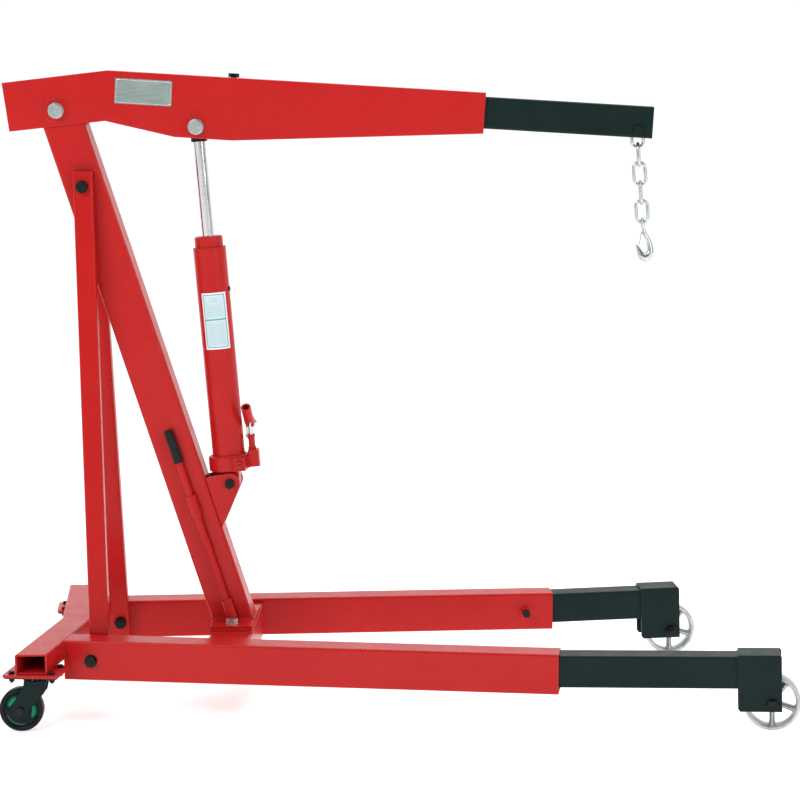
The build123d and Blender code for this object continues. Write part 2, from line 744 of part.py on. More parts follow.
def boom_pivot_bolt():
    seat = BOOM_HALF + 2.0
    return bolt((PIVOT[0], -seat, PIVOT[1]), (0, 1, 0), 20, 2 * seat)


def ram_pin():
    return bolt((RAM_PIN[0], -BOOM_HALF, RAM_PIN[1]), (0, 1, 0), 20, 2 * BOOM_HALF)


def boom_guides():
    """Two collars welded inside the boom, in which the extension slides."""
    shapes = []
    half = BOOM_HALF - BOOM_WALL
    for x in (GUIDE_BACK_X, BOOM_SIDE[2][0] - GUIDE_LENGTH - 14):
        plane = boom_plane(x, BOOM_WALL)
        block = box(0, GUIDE_LENGTH, -half, half, -EXT_GAP - EXT_SIZE - 6, 0)
        half = EXT_SIZE / 2 + GAP
        hole = box(-5, GUIDE_LENGTH + 5, -half, half, GAP - EXT_GAP - 2 * half, GAP - EXT_GAP)
        shapes.append(plane.location * (block - hole))
    return shapes


def nameplate():
    plane = boom_plane(-568.0, 45.0)
    plate = extrude(RectangleRounded(132, 58, 2.0), amount=1.2)
    turned = Plane(origin=(plane.origin.X, -BOOM_HALF, plane.origin.Z), x_dir=plane.x_dir, z_dir=(0, -1, 0))
    return turned.location * plate


def boom_lock_bolt():
    plane = boom_plane(LOCK_BOLT_X, 0)
    shank = Pos(0, 0, (3.0 - BOOM_WALL - EXT_GAP + 0.5) / 2) * Cylinder(7.0, 3.0 + BOOM_WALL + EXT_GAP - 0.5)
    head = extrude(Pos(0, 0, 1.0) * RegularPolygon(11.0, 6, major_radius=False), amount=9)
    return plane.location * (shank + head)


def ext_plane():
    """The extension's frame: its origin is the middle of the tube's top above the lock bolt."""
    return boom_plane(LOCK_BOLT_X, BOOM_WALL + EXT_GAP)


def boom_extension():
    plane = ext_plane()
    c = math.cos(TOP_ANGLE)
    x0, x1 = (EXT_TAIL_X - LOCK_BOLT_X) / c, (EXT_FRONT_X - LOCK_BOLT_X) / c
    tube = Pos(0, 0, -EXT_SIZE / 2) * tube_x(x0, x1, EXT_SIZE, EXT_SIZE, EXT_WALL, 6.0)
    body = plane.location * tube
    hx, hz = HOOK_BOLT
    body -= cylinder(6.0 + RUN, (hx, -60, hz), (hx, 60, hz))
    return body - box(hx - 26, hx + 26, -9, 9, hz - 40, hz - 5)


def hook_bolt():
    return bolt((HOOK_BOLT[0], -EXT_SIZE / 2, HOOK_BOLT[1]), (0, 1, 0), 12, EXT_SIZE)


# Hydraulic ram ----------------------------------------------------------------------------------------

RAM_LENGTH = math.hypot(RAM_PIN[0] - JACK_PIN[0], RAM_PIN[1] - JACK_PIN[1])


def ram_plane():
    """Frame at the lower pin: Z along the ram, X forward and Y to the left."""
    ux, uz = (RAM_PIN[0] - JACK_PIN[0]) / RAM_LENGTH, (RAM_PIN[1] - JACK_PIN[1]) / RAM_LENGTH
    return Plane(origin=(JACK_PIN[0], 0, JACK_PIN[1]), x_dir=(uz, 0, -ux), z_dir=(ux, 0, uz))


def placed_on_ram(shape):
    return ram_plane().location * shape


def pin_error(degrees):
    """Where the boom's pin lies in the rod head's frame when the boom is raised by an angle, X and Z."""
    phi = math.radians(degrees)
    arm = math.hypot(RAM_PIN[0] - PIVOT[0], RAM_PIN[1] - PIVOT[1])
    start = math.atan2(RAM_PIN[1] - PIVOT[1], RAM_PIN[0] - PIVOT[0])
    pin_x = PIVOT[0] + arm * math.cos(start + phi) - JACK_PIN[0]
    pin_z = PIVOT[1] + arm * math.sin(start + phi) - JACK_PIN[1]
    lean = math.atan2(RAM_PIN[1] - JACK_PIN[1], RAM_PIN[0] - JACK_PIN[0]) + TILT_PER_RADIAN * phi
    up = pin_x * math.cos(lean) + pin_z * math.sin(lean)
    across = pin_x * math.sin(lean) - pin_z * math.cos(lean)
    return across, up - RAM_LENGTH - RAM_PER_RADIAN * phi


def pin_travel():
    """Lowest and highest values of the pin's place in the rod head, across and along the rod."""
    places = [pin_error(BOOM_DOWN + (BOOM_UP - BOOM_DOWN) * i / 45) for i in range(46)]
    xs, zs = [p[0] for p in places], [p[1] for p in places]
    return min(xs), max(xs), min(zs), max(zs)


def ram_rod():
    """Chromed rod."""
    return placed_on_ram(cylinder(ROD_R, (0, 0, ROD_TAIL), (0, 0, ROD_TOP)))


def rod_head():
    """Fork head of the rod, with a slotted eye for the boom's pin."""
    x0, x1, z0, z1 = pin_travel()
    clear = 10.0 + 0.8
    wall = 9.0
    low, high = RAM_LENGTH + z0 - clear, RAM_LENGTH + z1 + clear
    head = box(x0 - clear - wall, x1 + clear + wall, -15, 15, low - wall, high + wall)
    head = fillet(head.edges().filter_by(Axis.Y), 12.0)
    slot = box(x0 - clear, x1 + clear, -20, 20, low, high)
    slot = fillet(slot.edges().filter_by(Axis.Y), clear - 0.2)
    neck = cylinder(19.0, (0, 0, ROD_TOP), (0, 0, low - wall + 6))
    return placed_on_ram((head + neck) - slot)


def ram_piston():
    """Piston and the seal in its groove."""
    piston = ring(RAM_R - RAM_WALL - GAP, ROD_R, (0, 0, ROD_TAIL), (0, 0, ROD_TAIL + 34))
    groove = ring(40.0, RAM_R - RAM_WALL - 5.0, (0, 0, ROD_TAIL + 12), (0, 0, ROD_TAIL + 22))
    seal = ring(RAM_R - RAM_WALL - 0.1, RAM_R - RAM_WALL - 5.0, (0, 0, ROD_TAIL + 12), (0, 0, ROD_TAIL + 22))
    return placed_on_ram(group([piston - groove, seal]))


def filler_direction():
    a = math.radians(12.0)
    return (math.cos(a), -math.sin(a), 0.0)


def ram_cylinder():
    body = ring(RAM_R, RAM_R - RAM_WALL, (0, 0, RAM_FROM), (0, 0, RAM_TO))
    start = along((0, 0, 457.0), filler_direction(), 20.0)
    end = along((0, 0, 457.0), filler_direction(), 60.0)
    return placed_on_ram(body - cylinder(3.5, start, end))


def filler_plug():
    start = along((0, 0, 457.0), filler_direction(), RAM_R - RAM_WALL + 0.5)
    end = along((0, 0, 457.0), filler_direction(), RAM_R + 0.6)
    cap = along((0, 0, 457.0), filler_direction(), RAM_R + 2.4)
    return placed_on_ram(cylinder(3.5, start, end) + cylinder(5.6, end, cap))


def ram_collar():
    """Gland nut that closes the cylinder round the rod."""
    body = cylinder(RAM_R - RAM_WALL, (0, 0, RAM_TO - 22), (0, 0, RAM_TO)) + cylinder(
        33.0, (0, 0, RAM_TO), (0, 0, COLLAR_TO)
    )
    top = body.edges().filter_by(GeomType.CIRCLE).sort_by(Axis.Z)[-1]
    body = chamfer(top, 3.0)
    return placed_on_ram(body - cylinder(ROD_R + RUN, (0, 0, 500), (0, 0, 620)))


def ram_base():
    """Cast foot of the ram, with the lug for the lower pin and the pump block."""
    foot = cylinder(48.5, (0, 0, 28), (0, 0, RAM_FROM))
    foot = fillet(foot.edges().filter_by(GeomType.CIRCLE), 4.0)
    foot += cylinder(RAM_R - RAM_WALL, (0, 0, RAM_FROM), (0, 0, RAM_FROM + 12))
    lug = box(-22, 22, -LUG_HALF, LUG_HALF, 0, 30) + cylinder(22.0, (0, -LUG_HALF, 0), (0, LUG_HALF, 0))
    bridge = box(20, 71, -16, 16, 33, RAM_FROM - 5)
    block = box(47, 72, -17, 17, 32, 72)
    block = fillet(block.edges().filter_by(Axis.Z), 3.0)
    valve_boss = box(VALVE[0] - 15, VALVE[0] + 14, -54, -20, 29.5, RAM_FROM - 4.5)
    body = foot + lug + bridge + block + valve_boss
    body -= cylinder(JACK_PIN_R + RUN, (0, -60, 0), (0, 60, 0))
    body -= cylinder(5.0 + RUN, (VALVE[0], -60, VALVE[1]), (VALVE[0], -30, VALVE[1]))
    return placed_on_ram(body - cylinder(PLUNGER_R + RUN, (PUMP_ACROSS, 0, 40), (PUMP_ACROSS, 0, 90)))


def release_valve():
    x, z = VALVE
    body = cylinder(5.0, (x, -32, z), (x, -56, z)) + cylinder(7.0, (x, -56, z), (x, -64, z))
    body -= box(x - 15, x + 15, -67, -60, z - 1.6, z + 1.6)
    return placed_on_ram(body)


LABEL_TURN = 5.0  # degrees, from the right towards the front


def cylinder_label():
    """Thin printed sheet wrapped round the right side of the cylinder."""
    sheet = ring(RAM_R + 0.4, RAM_R, (0, 0, 319), (0, 0, 452))
    a = math.radians(46.0)
    reach = 80.0
    across, out = reach * math.sin(a), reach * math.cos(a)
    sector = extrude(filled((0, 0), (-across, -out), (0, -1.6 * reach), (across, -out)), amount=700)
    return placed_on_ram(sheet & (Rot(0, 0, LABEL_TURN) * sector))


# Hand pump --------------------------------------------------------------------------------------------

LINK_BACK = 20.0  # from the plunger's pin to the lever's pivot
LINK_DROP = 33.0  # from the lever's pivot down to the link's lower pin
LINK_AT = (-12.6, -9.6)  # the link stands behind the lever's rear cheek
PIN_R = 3.0


def pump_plane():
    """Frame on the pump's axis at the plunger pin, in the ram's frame: X the way the lever points."""
    e = (-math.sin(PUMP_TURN), -math.cos(PUMP_TURN), 0)
    return Plane(origin=(PUMP_ACROSS, 0, PUMP_PIN_W), x_dir=e, z_dir=(0, 0, 1))


def placed_on_pump(shape):
    return placed_on_ram(pump_plane().location * shape)


def pump_barrel():
    """Barrel with an ear at its top for the link."""
    block_top, top = 72 - PUMP_PIN_W, 108 - PUMP_PIN_W
    body = cylinder(9.5, (0, 0, block_top), (0, 0, block_top + 6))
    body += cylinder(7.6, (0, 0, block_top + 6), (0, 0, top))
    ear = box(-LINK_BACK, -4, -9.2, 4, -LINK_DROP - 6, top)
    ear += cylinder(6.0, (-LINK_BACK, -9.2, -LINK_DROP), (-LINK_BACK, 4, -LINK_DROP))
    body += ear & box(-LINK_BACK - 7, 0, -10, 5, -LINK_DROP - 6, top)
    body -= cylinder(PIN_R + RUN, (-LINK_BACK, -20, -LINK_DROP), (-LINK_BACK, 20, -LINK_DROP))
    return placed_on_pump(body - cylinder(PLUNGER_R + RUN, (0, 0, -80), (0, 0, 10)))


def pump_plunger():
    """Plunger with its cross pin."""
    stem = cylinder(PLUNGER_R, (0, 0, 52 - PUMP_PIN_W), (0, 0, 6.5))
    return placed_on_pump(stem + cylinder(PIN_R, (0, -10.4, 0), (0, 10.4, 0)))


def pump_links():
    """Short plate from the barrel's ear up to the lever, with its two pins."""
    y0, y1 = LINK_AT
    plate = box(-LINK_BACK - 6, -LINK_BACK + 6, y0, y1, -LINK_DROP, 0)
    for z in (0, -LINK_DROP):
        plate += cylinder(6.0, (-LINK_BACK, y0, z), (-LINK_BACK, y1, z))
        plate -= cylinder(PIN_R, (-LINK_BACK, y0 - 1, z), (-LINK_BACK, y1 + 1, z))
    shapes = [plate]
    for z, end in ((0, 11.5), (-LINK_DROP, 5.5)):
        pin = cylinder(PIN_R, (-LINK_BACK, y0, z), (-LINK_BACK, end, z))
        pin += cylinder(4.8, (-LINK_BACK, y0 - 3, z), (-LINK_BACK, y0, z))
        shapes.append(pin + cylinder(4.2, (-LINK_BACK, end, z), (-LINK_BACK, end + 1.5, z)))
    return placed_on_pump(group(shapes))


SOCKET_ANGLE = math.radians(46.0)


def pump_lever():
    """Handle socket on two cheeks."""
    shapes = []
    for s in (-1, 1):
        y0, y1 = sorted((s * 5.9, s * 9.2))
        outline = [(-LINK_BACK, -7), (10, -9), (26, 14), (14, 22), (-LINK_BACK, 7)]
        cheek = slab(outline, y0, y1) + cylinder(7.0, (-LINK_BACK, y0, 0), (-LINK_BACK, y1, 0))
        cheek -= cylinder(PIN_R + RUN, (-LINK_BACK, y0 - 1, 0), (-LINK_BACK, y1 + 1, 0))
        slot = box(-6.5, 7.6, y0 - 1, y1 + 1, -4.1, 4.1)
        shapes.append(cheek - slot)
    direction = (math.cos(SOCKET_ANGLE), 0, math.sin(SOCKET_ANGLE))
    start = along((13, 0, 8), direction, 4.0)
    end = along(start, direction, 46.0)
    body = shapes[0] + shapes[1] + cylinder(11.6, start, end)
    bore = cylinder(8.6, along(start, direction, 6.0), along(end, direction, 2.0))
    return placed_on_pump(body - bore)


def lever_axis():
    """The lever's pivot in the row's frame, and its axis, about which it turns upwards."""
    ram = ram_plane()
    pump = pump_plane()
    local = pump.origin - pump.x_dir * LINK_BACK
    point = ram.origin + ram.x_dir * local.X + ram.y_dir * local.Y + ram.z_dir * local.Z
    e = ram.x_dir * pump.x_dir.X + ram.y_dir * pump.x_dir.Y
    return point, e.cross(ram.z_dir)


# Stored handle ----------------------------------------------------------------------------------------


def pump_handle():
    return ring(8.3, 6.3, handle_line(193.0), handle_line(640.0))


def handle_grip():
    grip = cylinder(11.8, handle_line(563.0), handle_line(644.0))
    grip = fillet(grip.edges().filter_by(GeomType.CIRCLE), 2.5)
    return grip - cylinder(8.3, handle_line(500.0), handle_line(640.0))


# Chain and hook ---------------------------------------------------------------------------------------

LINK_L, LINK_W, WIRE = 60.0, 35.0, 8.0
LINK_COUNT = 5
LINK_STEP = LINK_L - 2 * WIRE - GAP
CHAIN_LEAN = math.radians(3.4)


def chain_point(distance):
    """A point at a distance down the chain from the middle of the hook bolt."""
    return (HOOK_BOLT[0] + distance * math.sin(CHAIN_LEAN), 0, HOOK_BOLT[1] - distance * math.cos(CHAIN_LEAN))


def chain_plane(distance, turned):
    down = (math.sin(CHAIN_LEAN), 0, -math.cos(CHAIN_LEAN))
    side = (0, 1, 0) if turned else (math.cos(CHAIN_LEAN), 0, math.sin(CHAIN_LEAN))
    normal = Vector(*down).cross(Vector(*side))
    return Plane(origin=chain_point(distance), x_dir=down, z_dir=normal)


TOP_LINK_MIDDLE = LINK_L / 2 - WIRE - 6.0 - GAP


def link_middle(index):
    return TOP_LINK_MIDDLE + index * LINK_STEP


def chain_link(index):
    straight = LINK_L - LINK_W
    r = (LINK_W - WIRE) / 2
    half = straight / 2
    ends = []
    for s in (-1, 1):
        bend = Torus(r, WIRE / 2) & box(*sorted((0, s * 60)), -60, 60, -20, 20)
        ends.append(Pos(s * half, 0, 0) * bend)
    bars = [cylinder(WIRE / 2, (-half, s * r, 0), (half, s * r, 0)) for s in (-1, 1)]
    body = ends[0] + ends[1] + bars[0] + bars[1]
    return chain_plane(link_middle(index), index % 2 == 1).location * body


def link_pivot(index):
    """Hinge point of a link: the middle of the wire that it hangs on."""
    if index == 0:
        return chain_point(0.0)
    return chain_point(link_middle(index - 1) + LINK_L / 2 - WIRE / 2)


EYE_R, EYE_WIRE = 11.0, 9.0


def eye_middle():
    return link_middle(LINK_COUNT - 1) + LINK_L / 2 - WIRE - GAP + EYE_R + EYE_WIRE / 2 - EYE_WIRE


def hook_place(across, down):
    """A point in the hook's plane, from the middle of its eye: forward and down the chain."""
    c, s = math.cos(CHAIN_LEAN), math.sin(CHAIN_LEAN)
    x, _, z = chain_point(eye_middle() + down)
    return (x + across * c, 0, z + across * s)


HOOK_BOWL, HOOK_BOWL_R = (2.0, 70.0), 21.5
HOOK_THROAT, HOOK_THROAT_R = (1.2, 62.0), 7.0


def hook():
    """Slip hook, with its eye square to its bowl."""
    plane = chain_plane(eye_middle(), True)
    eye = plane.location * Torus(EYE_R, EYE_WIRE / 2)
    across = (math.cos(CHAIN_LEAN), 0, math.sin(CHAIN_LEAN))
    frame = Plane(origin=hook_place(0, 0), x_dir=across, z_dir=(0, -1, 0))
    bowl = Pos(HOOK_BOWL[0], -HOOK_BOWL[1], 0) * Circle(HOOK_BOWL_R)
    throat = Pos(HOOK_THROAT[0], -HOOK_THROAT[1], 0) * Circle(HOOK_THROAT_R)
    tip = filled((-19.3, -67), (-5.5, -63), (-12.5, -53), (-18.6, -46.8))
    shank = filled(
        (-5, -14), (6, -14), (9, -22), (18, -42), (22.5, -60),
        (23.2, -68), (8, -66), (7.5, -55), (5.5, -44), (-3, -24),
    )
    mouth = filled((-5.8, -62), (8.2, -62), (7.5, -55), (5.5, -44), (-30, -40), (-18.6, -46.8), (-12.5, -53))
    profile = (bowl + tip + shank) - throat - mouth
    thick = extrude(Pos(0, 0, -6) * profile, amount=12)
    body = frame.location * thick
    return body + eye


def latch_pivot():
    return hook_place(-1.0, 22.0)


def hook_latch():
    """Spring latch across the hook's mouth, on its right face."""
    px, _, pz = latch_pivot()
    tip = hook_place(-11.0, 53.0)
    dx, dz = tip[0] - px, tip[2] - pz
    n = math.hypot(dx, dz)
    side = (dz / n * 3.5, -dx / n * 3.5)
    outline = [
        (px + side[0], pz + side[1]),
        (tip[0] + side[0], tip[2] + side[1]),
        (tip[0] - side[0], tip[2] - side[1]),
        (px - side[0], pz - side[1]),
    ]
    return slab(outline, -8.0, -6.4) + cylinder(5.0, (px, -8.0, pz), (px, -6.4, pz))


# Assembly ---------------------------------------------------------------------------------------------


def sub_parts():
    parts = {
        "rear_beam": rear_beam(),
        "cross_member": cross_member(),
        "foot_plates": group([foot_plate(CROSS_TOP), foot_plate(CROSS_TOP + FOOT_PLATE_T)]),
        "foot_bolts": foot_bolts(),
        "mast": mast(),
        "brace_bolts": brace_bolts(),
        "ram_gussets": group([gusset(-1), gusset(1)]),
        "ram_lower_pin": ram_lower_pin(),
        "handle_sleeves": handle_sleeves(),
        "caster_mounting_plates": group([caster_plate(-1), caster_plate(1)]),
        "caster_plate_bolts": caster_bolts(),
        "caster_top_plates": group([caster_top_plate(-1), caster_top_plate(1)]),
        "swivel_balls": swivel_balls(),
        "boom": boom_box(),
        "boom_pivot_bolt": boom_pivot_bolt(),
        "ram_upper_pin": ram_pin(),
        "nameplate": nameplate(),
        "boom_lock_bolt": boom_lock_bolt(),
        "boom_extension": boom_extension(),
        "hook_bolt": hook_bolt(),
        "ram_cylinder": ram_cylinder(),
        "ram_collar": ram_collar(),
        "ram_base": ram_base(),
        "ram_rod": ram_rod(),
        "rod_head": rod_head(),
        "ram_piston": ram_piston(),
        "filler_plug": filler_plug(),
        "release_valve": release_valve(),
        "cylinder_label": cylinder_label(),
        "pump_barrel": pump_barrel(),
        "pump_plunger": pump_plunger(),
        "pump_links": pump_links(),
        "pump_lever": pump_lever(),
        "pump_handle": pump_handle(),
        "handle_grip": handle_grip(),
        "hook": hook(),
        "hook_latch": hook_latch(),
    }
    for index in range(LINK_COUNT):
        parts[f"chain_link_{index + 1}"] = chain_link(index)
    return parts


def sided_parts(name):
    side = SIDES[name]
    return {
        f"{name}_leg": leg(side),
        f"{name}_brace": brace(side),
        f"{name}_leg_screw": leg_screw(side),
        f"{name}_slide": leg_slide(name),
        f"{name}_front_axle": front_axle_bolt(name),
        f"{name}_front_wheel": front_wheel(name),
        f"{name}_caster_fork": caster_fork(side),
        f"{name}_caster_axle": caster_axle_bolt(side),
        f"{name}_caster_wheel": caster_wheel(side),
    }


if __name__ == "__main__":
    os.makedirs("parts", exist_ok=True)
    parts = sub_parts()
    for side_name in SIDES:
        parts.update(sided_parts(side_name))
    for node, shape in parts.items():
        write(node, shape)
    print(len(parts), "parts")
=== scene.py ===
"""Looks of the engine hoist crane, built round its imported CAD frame. Everything is in metres."""

import json
import math

import bmesh
import bpy
import numpy as np
from mathutils import Matrix, Vector


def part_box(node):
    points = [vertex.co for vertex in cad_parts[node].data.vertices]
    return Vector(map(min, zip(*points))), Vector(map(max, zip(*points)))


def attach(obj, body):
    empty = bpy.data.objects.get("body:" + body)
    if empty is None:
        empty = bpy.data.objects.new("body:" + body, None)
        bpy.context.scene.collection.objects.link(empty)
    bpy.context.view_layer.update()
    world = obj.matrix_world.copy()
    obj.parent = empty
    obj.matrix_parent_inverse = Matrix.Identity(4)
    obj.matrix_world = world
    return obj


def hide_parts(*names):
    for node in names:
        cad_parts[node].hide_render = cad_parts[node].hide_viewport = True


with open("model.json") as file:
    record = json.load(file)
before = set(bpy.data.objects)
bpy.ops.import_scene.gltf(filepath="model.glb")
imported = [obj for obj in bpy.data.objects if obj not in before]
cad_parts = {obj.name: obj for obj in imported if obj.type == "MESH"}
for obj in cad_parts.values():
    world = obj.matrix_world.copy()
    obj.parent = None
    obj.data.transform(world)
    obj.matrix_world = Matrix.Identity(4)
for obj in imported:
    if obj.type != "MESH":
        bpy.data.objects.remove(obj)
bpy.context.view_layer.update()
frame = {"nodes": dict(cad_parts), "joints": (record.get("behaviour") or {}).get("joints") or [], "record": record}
MM = 0.001
JOINTS = {joint["name"]: joint for joint in frame["joints"]}
SIGNED_SIDES = ((-1, "right"), (1, "left"))
SIDES = ("right", "left")


# Places read from the frame ---------------------------------------------------------------------------


def place(joint):
    """Where a joint's axis is."""
    return Vector(JOINTS[joint]["pos_m"])


def axis(joint):
    """Which way a joint's axis points."""
    return Vector(JOINTS[joint]["axis"]).normalized()


def points(node):
    """A CAD node's corners as an array."""
    return np.array([v.co for v in frame["nodes"][node].data.vertices], float)


def principal(node):
    """Centre of a slender node and its three own directions, longest first."""
    cloud = points(node)
    low, high = cloud.min(0), cloud.max(0)
    _, vectors = np.linalg.eigh(np.cov(cloud.T))
    return Vector((low + high) / 2), [Vector(vectors[:, i]) for i in (2, 1, 0)]


def basis(origin, x, z):
    """A matrix with its X near x and its Z along z."""
    z = Vector(z).normalized()
    x = Vector(x)
    x = (x - z * x.dot(z)).normalized()
    y = z.cross(x)
    turn = Matrix((x, y, z)).transposed().to_4x4()
    return Matrix.Translation(Vector(origin)) @ turn


# Mesh helpers -----------------------------------------------------------------------------------------


def piece(name, mesh, matrix, material, body):
    """A finished piece in its place, riding on its body."""
    mesh.transform(matrix)
    mesh.materials.append(material)
    shown = bpy.data.objects.new(name, mesh)
    bpy.context.scene.collection.objects.link(shown)
    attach(shown, body)
    return shown


def finished(bm, name, smooth=True):
    """Turns the working mesh into a real one, faces outward."""
    bmesh.ops.recalc_face_normals(bm, faces=bm.faces)
    for face in bm.faces:
        face.smooth = smooth
    mesh = bpy.data.meshes.new(name)
    bm.to_mesh(mesh)
    bm.free()
    return mesh


def ring_strip(bm, rings, closed):
    """Faces between successive rings of vertices."""
    pairs = list(zip(rings, rings[1:]))
    if closed:
        pairs.append((rings[-1], rings[0]))
    for a, b in pairs:
        for i in range(len(a)):
            j = (i + 1) % len(a)
            bm.faces.new((a[i], a[j], b[j], b[i]))


def lathe(bm, profile, steps=72):
    """Turns a closed outline of (radius, height) about Z."""
    angles = [2 * math.pi * k / steps for k in range(steps)]
    rings = []
    for radius, height in profile:
        rings.append([bm.verts.new((radius * math.cos(a), radius * math.sin(a), height)) for a in angles])
    ring_strip(bm, rings, True)


def tube(bm, path, radii, sides=14, closed=False, flat=1.0):
    """Sweeps an oval along a path. flat is its thickness out of the path's plane, as a share of its width."""
    count = len(path)
    rings = []
    normal = None
    for i, point in enumerate(path):
        before = path[i - 1] if closed or i else point
        after = path[(i + 1) % count] if closed or i < count - 1 else point
        ahead = (after - before).normalized()
        if normal is None:
            normal = ahead.orthogonal().normalized()
        normal = (normal - ahead * normal.dot(ahead)).normalized()
        across = ahead.cross(normal)
        r = radii[i]
        ring = []
        for k in range(sides):
            a = 2 * math.pi * k / sides
            ring.append(bm.verts.new(point + normal * (r * math.cos(a)) + across * (r * flat * math.sin(a))))
        rings.append(ring)
    ring_strip(bm, rings, closed)
    if not closed:
        bm.faces.new(rings[0])
        bm.faces.new(rings[-1])


def smooth_path(controls, per_span=8):
    """Catmull-Rom curve through points of any dimension, as a list of arrays."""
    pts = np.array(controls, float)
    pts = np.vstack([2 * pts[0] - pts[1], pts, 2 * pts[-1] - pts[-2]])
    out = []
    for i in range(1, len(pts) - 2):
        a, b, c, d = pts[i - 1 : i + 3]
        for k in range(per_span):
            t = k / per_span
            square, cube = 2 * a - 5 * b + 4 * c - d, 3 * b - a - 3 * c + d
            out.append(0.5 * (2 * b + (c - a) * t + square * t**2 + cube * t**3))
    out.append(pts[-2])
    return out


def evaluated(mesh, *modifiers):
    """The mesh as it is after some modifiers, each given as its kind and settings."""
    holder = bpy.data.objects.new("holder", mesh)
    bpy.context.scene.collection.objects.link(holder)
    for kind, settings in modifiers:
        modifier = holder.modifiers.new(kind, kind)
        for key, value in settings.items():
            setattr(modifier, key, value)
    result = bpy.data.meshes.new_from_object(holder.evaluated_get(bpy.context.evaluated_depsgraph_get()))
    bpy.data.objects.remove(holder)
    return result


def melted(mesh, voxel, rounds):
    """Joins overlapping shells into one skin with soft inner corners."""
    remesh = {"mode": "VOXEL", "voxel_size": voxel, "use_smooth_shade": True}
    return evaluated(mesh, ("REMESH", remesh), ("SMOOTH", {"factor": 0.5, "iterations": rounds}))


# Material helpers -------------------------------------------------------------------------------------


class Shader:
    """A node material being put together round one Principled shader."""

    def __init__(self, name):
        self.material = bpy.data.materials.new(name)
        self.material.use_nodes = True
        self.tree = self.material.node_tree
        self.bsdf = self.tree.nodes["Principled BSDF"]
        self.object = self.tree.nodes.new("ShaderNodeTexCoord").outputs["Object"]

    def set(self, **values):
        """Sets the shader's own sockets, their names with _ for each space."""
        for key, value in values.items():
            self.bsdf.inputs[key.replace("_", " ")].default_value = value

    def link(self, source, socket):
        self.tree.links.new(source, self.bsdf.inputs[socket])

    def node(self, kind, inputs=None, **settings):
        """A new node, its inputs linked to sockets or set to values."""
        made = self.tree.nodes.new(kind)
        for key, value in settings.items():
            setattr(made, key, value)
        for key, value in (inputs or {}).items():
            if isinstance(value, bpy.types.NodeSocket):
                self.tree.links.new(value, made.inputs[key])
            else:
                made.inputs[key].default_value = value
        return made

    def noise(self, scale, detail=3.0, rough=0.5, stretch=None, turn=None):
        """Noise in the object's space, which may be turned first and then stretched."""
        vector = self.object
        if turn:
            vector = self.node("ShaderNodeMapping", {"Vector": vector, "Rotation": turn}).outputs[0]
        if stretch:
            vector = self.node("ShaderNodeMapping", {"Vector": vector, "Scale": stretch}).outputs[0]
        inputs = {"Vector": vector, "Scale": scale, "Detail": detail, "Roughness": rough}
        return self.node("ShaderNodeTexNoise", inputs).outputs["Fac"]

    def ramp(self, source, low, high, start=0.0, end=1.0):
        """A smooth step of source from low to high, as a value or a colour."""
        made = self.node("ShaderNodeValToRGB", {"Fac": source})
        first, last = made.color_ramp.elements
        first.position, last.position = start, end
        for stop, value in ((first, low), (last, high)):
            stop.color = (value, value, value, 1) if isinstance(value, float) else (*value, 1)
        return made.outputs["Color"]

    def mix(self, factor, a, b):
        """Colour a, or b where the factor is 1. Sockets 0, 6 and 7 are the colour mix's factor, A and B."""
        made = self.node("ShaderNodeMix", data_type="RGBA")
        for socket, value in ((made.inputs[0], factor), (made.inputs[6], a), (made.inputs[7], b)):
            if isinstance(value, bpy.types.NodeSocket):
                self.tree.links.new(value, socket)
            else:
                socket.default_value = value if isinstance(value, float) else (*value, 1)
        return made.outputs[2]

    def math(self, operation, a, b=0.0):
        made = self.node("ShaderNodeMath", operation=operation)
        for socket, value in ((made.inputs[0], a), (made.inputs[1], b)):
            if isinstance(value, bpy.types.NodeSocket):
                self.tree.links.new(value, socket)
            else:
                socket.default_value = value
        return made.outputs[0]

    def edge(self, radius=1.6 * MM):
        """Rounded normal, and a mask that is 1 on sharp edges."""
        rounded = self.node("ShaderNodeBevel", {"Radius": radius}, samples=6).outputs[0]
        flat = self.node("ShaderNodeNewGeometry").outputs["Normal"]
        dot = self.node("ShaderNodeVectorMath", {0: rounded, 1: flat}, operation="DOT_PRODUCT")
        mask = self.ramp(dot.outputs["Value"], 1.0, 0.0, 0.80, 0.995)
        return rounded, mask

    def bump(self, height, distance, strength=1.0, normal=None):
        inputs = {"Height": height, "Distance": distance, "Strength": strength}
        if normal is not None:
            inputs["Normal"] = normal
        made = self.node("ShaderNodeBump", inputs)
        self.link(made.outputs[0], "Normal")


# Materials --------------------------------------------------------------------------------------------


def sprayed_paint(name, colour, shade, edge_highlight_colour, roughness, coat, gloss):
    """Paint with orange peel, broad patches of a deeper coat, and a painted highlight along its edges, broken up
    by noise.
    """
    s = Shader(name)
    rounded, edge = s.edge()
    patches = s.ramp(s.noise(5.0, 4.0, 0.6), 0.0, 1.0, 0.35, 0.68)
    base = s.mix(patches, colour, shade)
    # Painted highlight: sharp edges lean towards the lighter edge colour, in patches set by the noise.
    painted_edge_highlight = s.math("MULTIPLY", edge, s.ramp(s.noise(38.0, 5.0, 0.7), 0.05, 0.85, 0.35, 0.75))
    s.link(s.mix(painted_edge_highlight, base, edge_highlight_colour), "Base Color")
    rough = s.ramp(s.noise(24.0, 5.0, 0.65), roughness - 0.05, roughness + 0.10, 0.3, 0.75)
    s.link(rough, "Roughness")
    s.set(Coat_Weight=coat, Coat_Roughness=0.08, IOR=1.5, Specular_IOR_Level=gloss)
    s.bump(s.noise(420.0, 2.0, 0.4), 0.00012, 0.35, rounded)
    return s.material


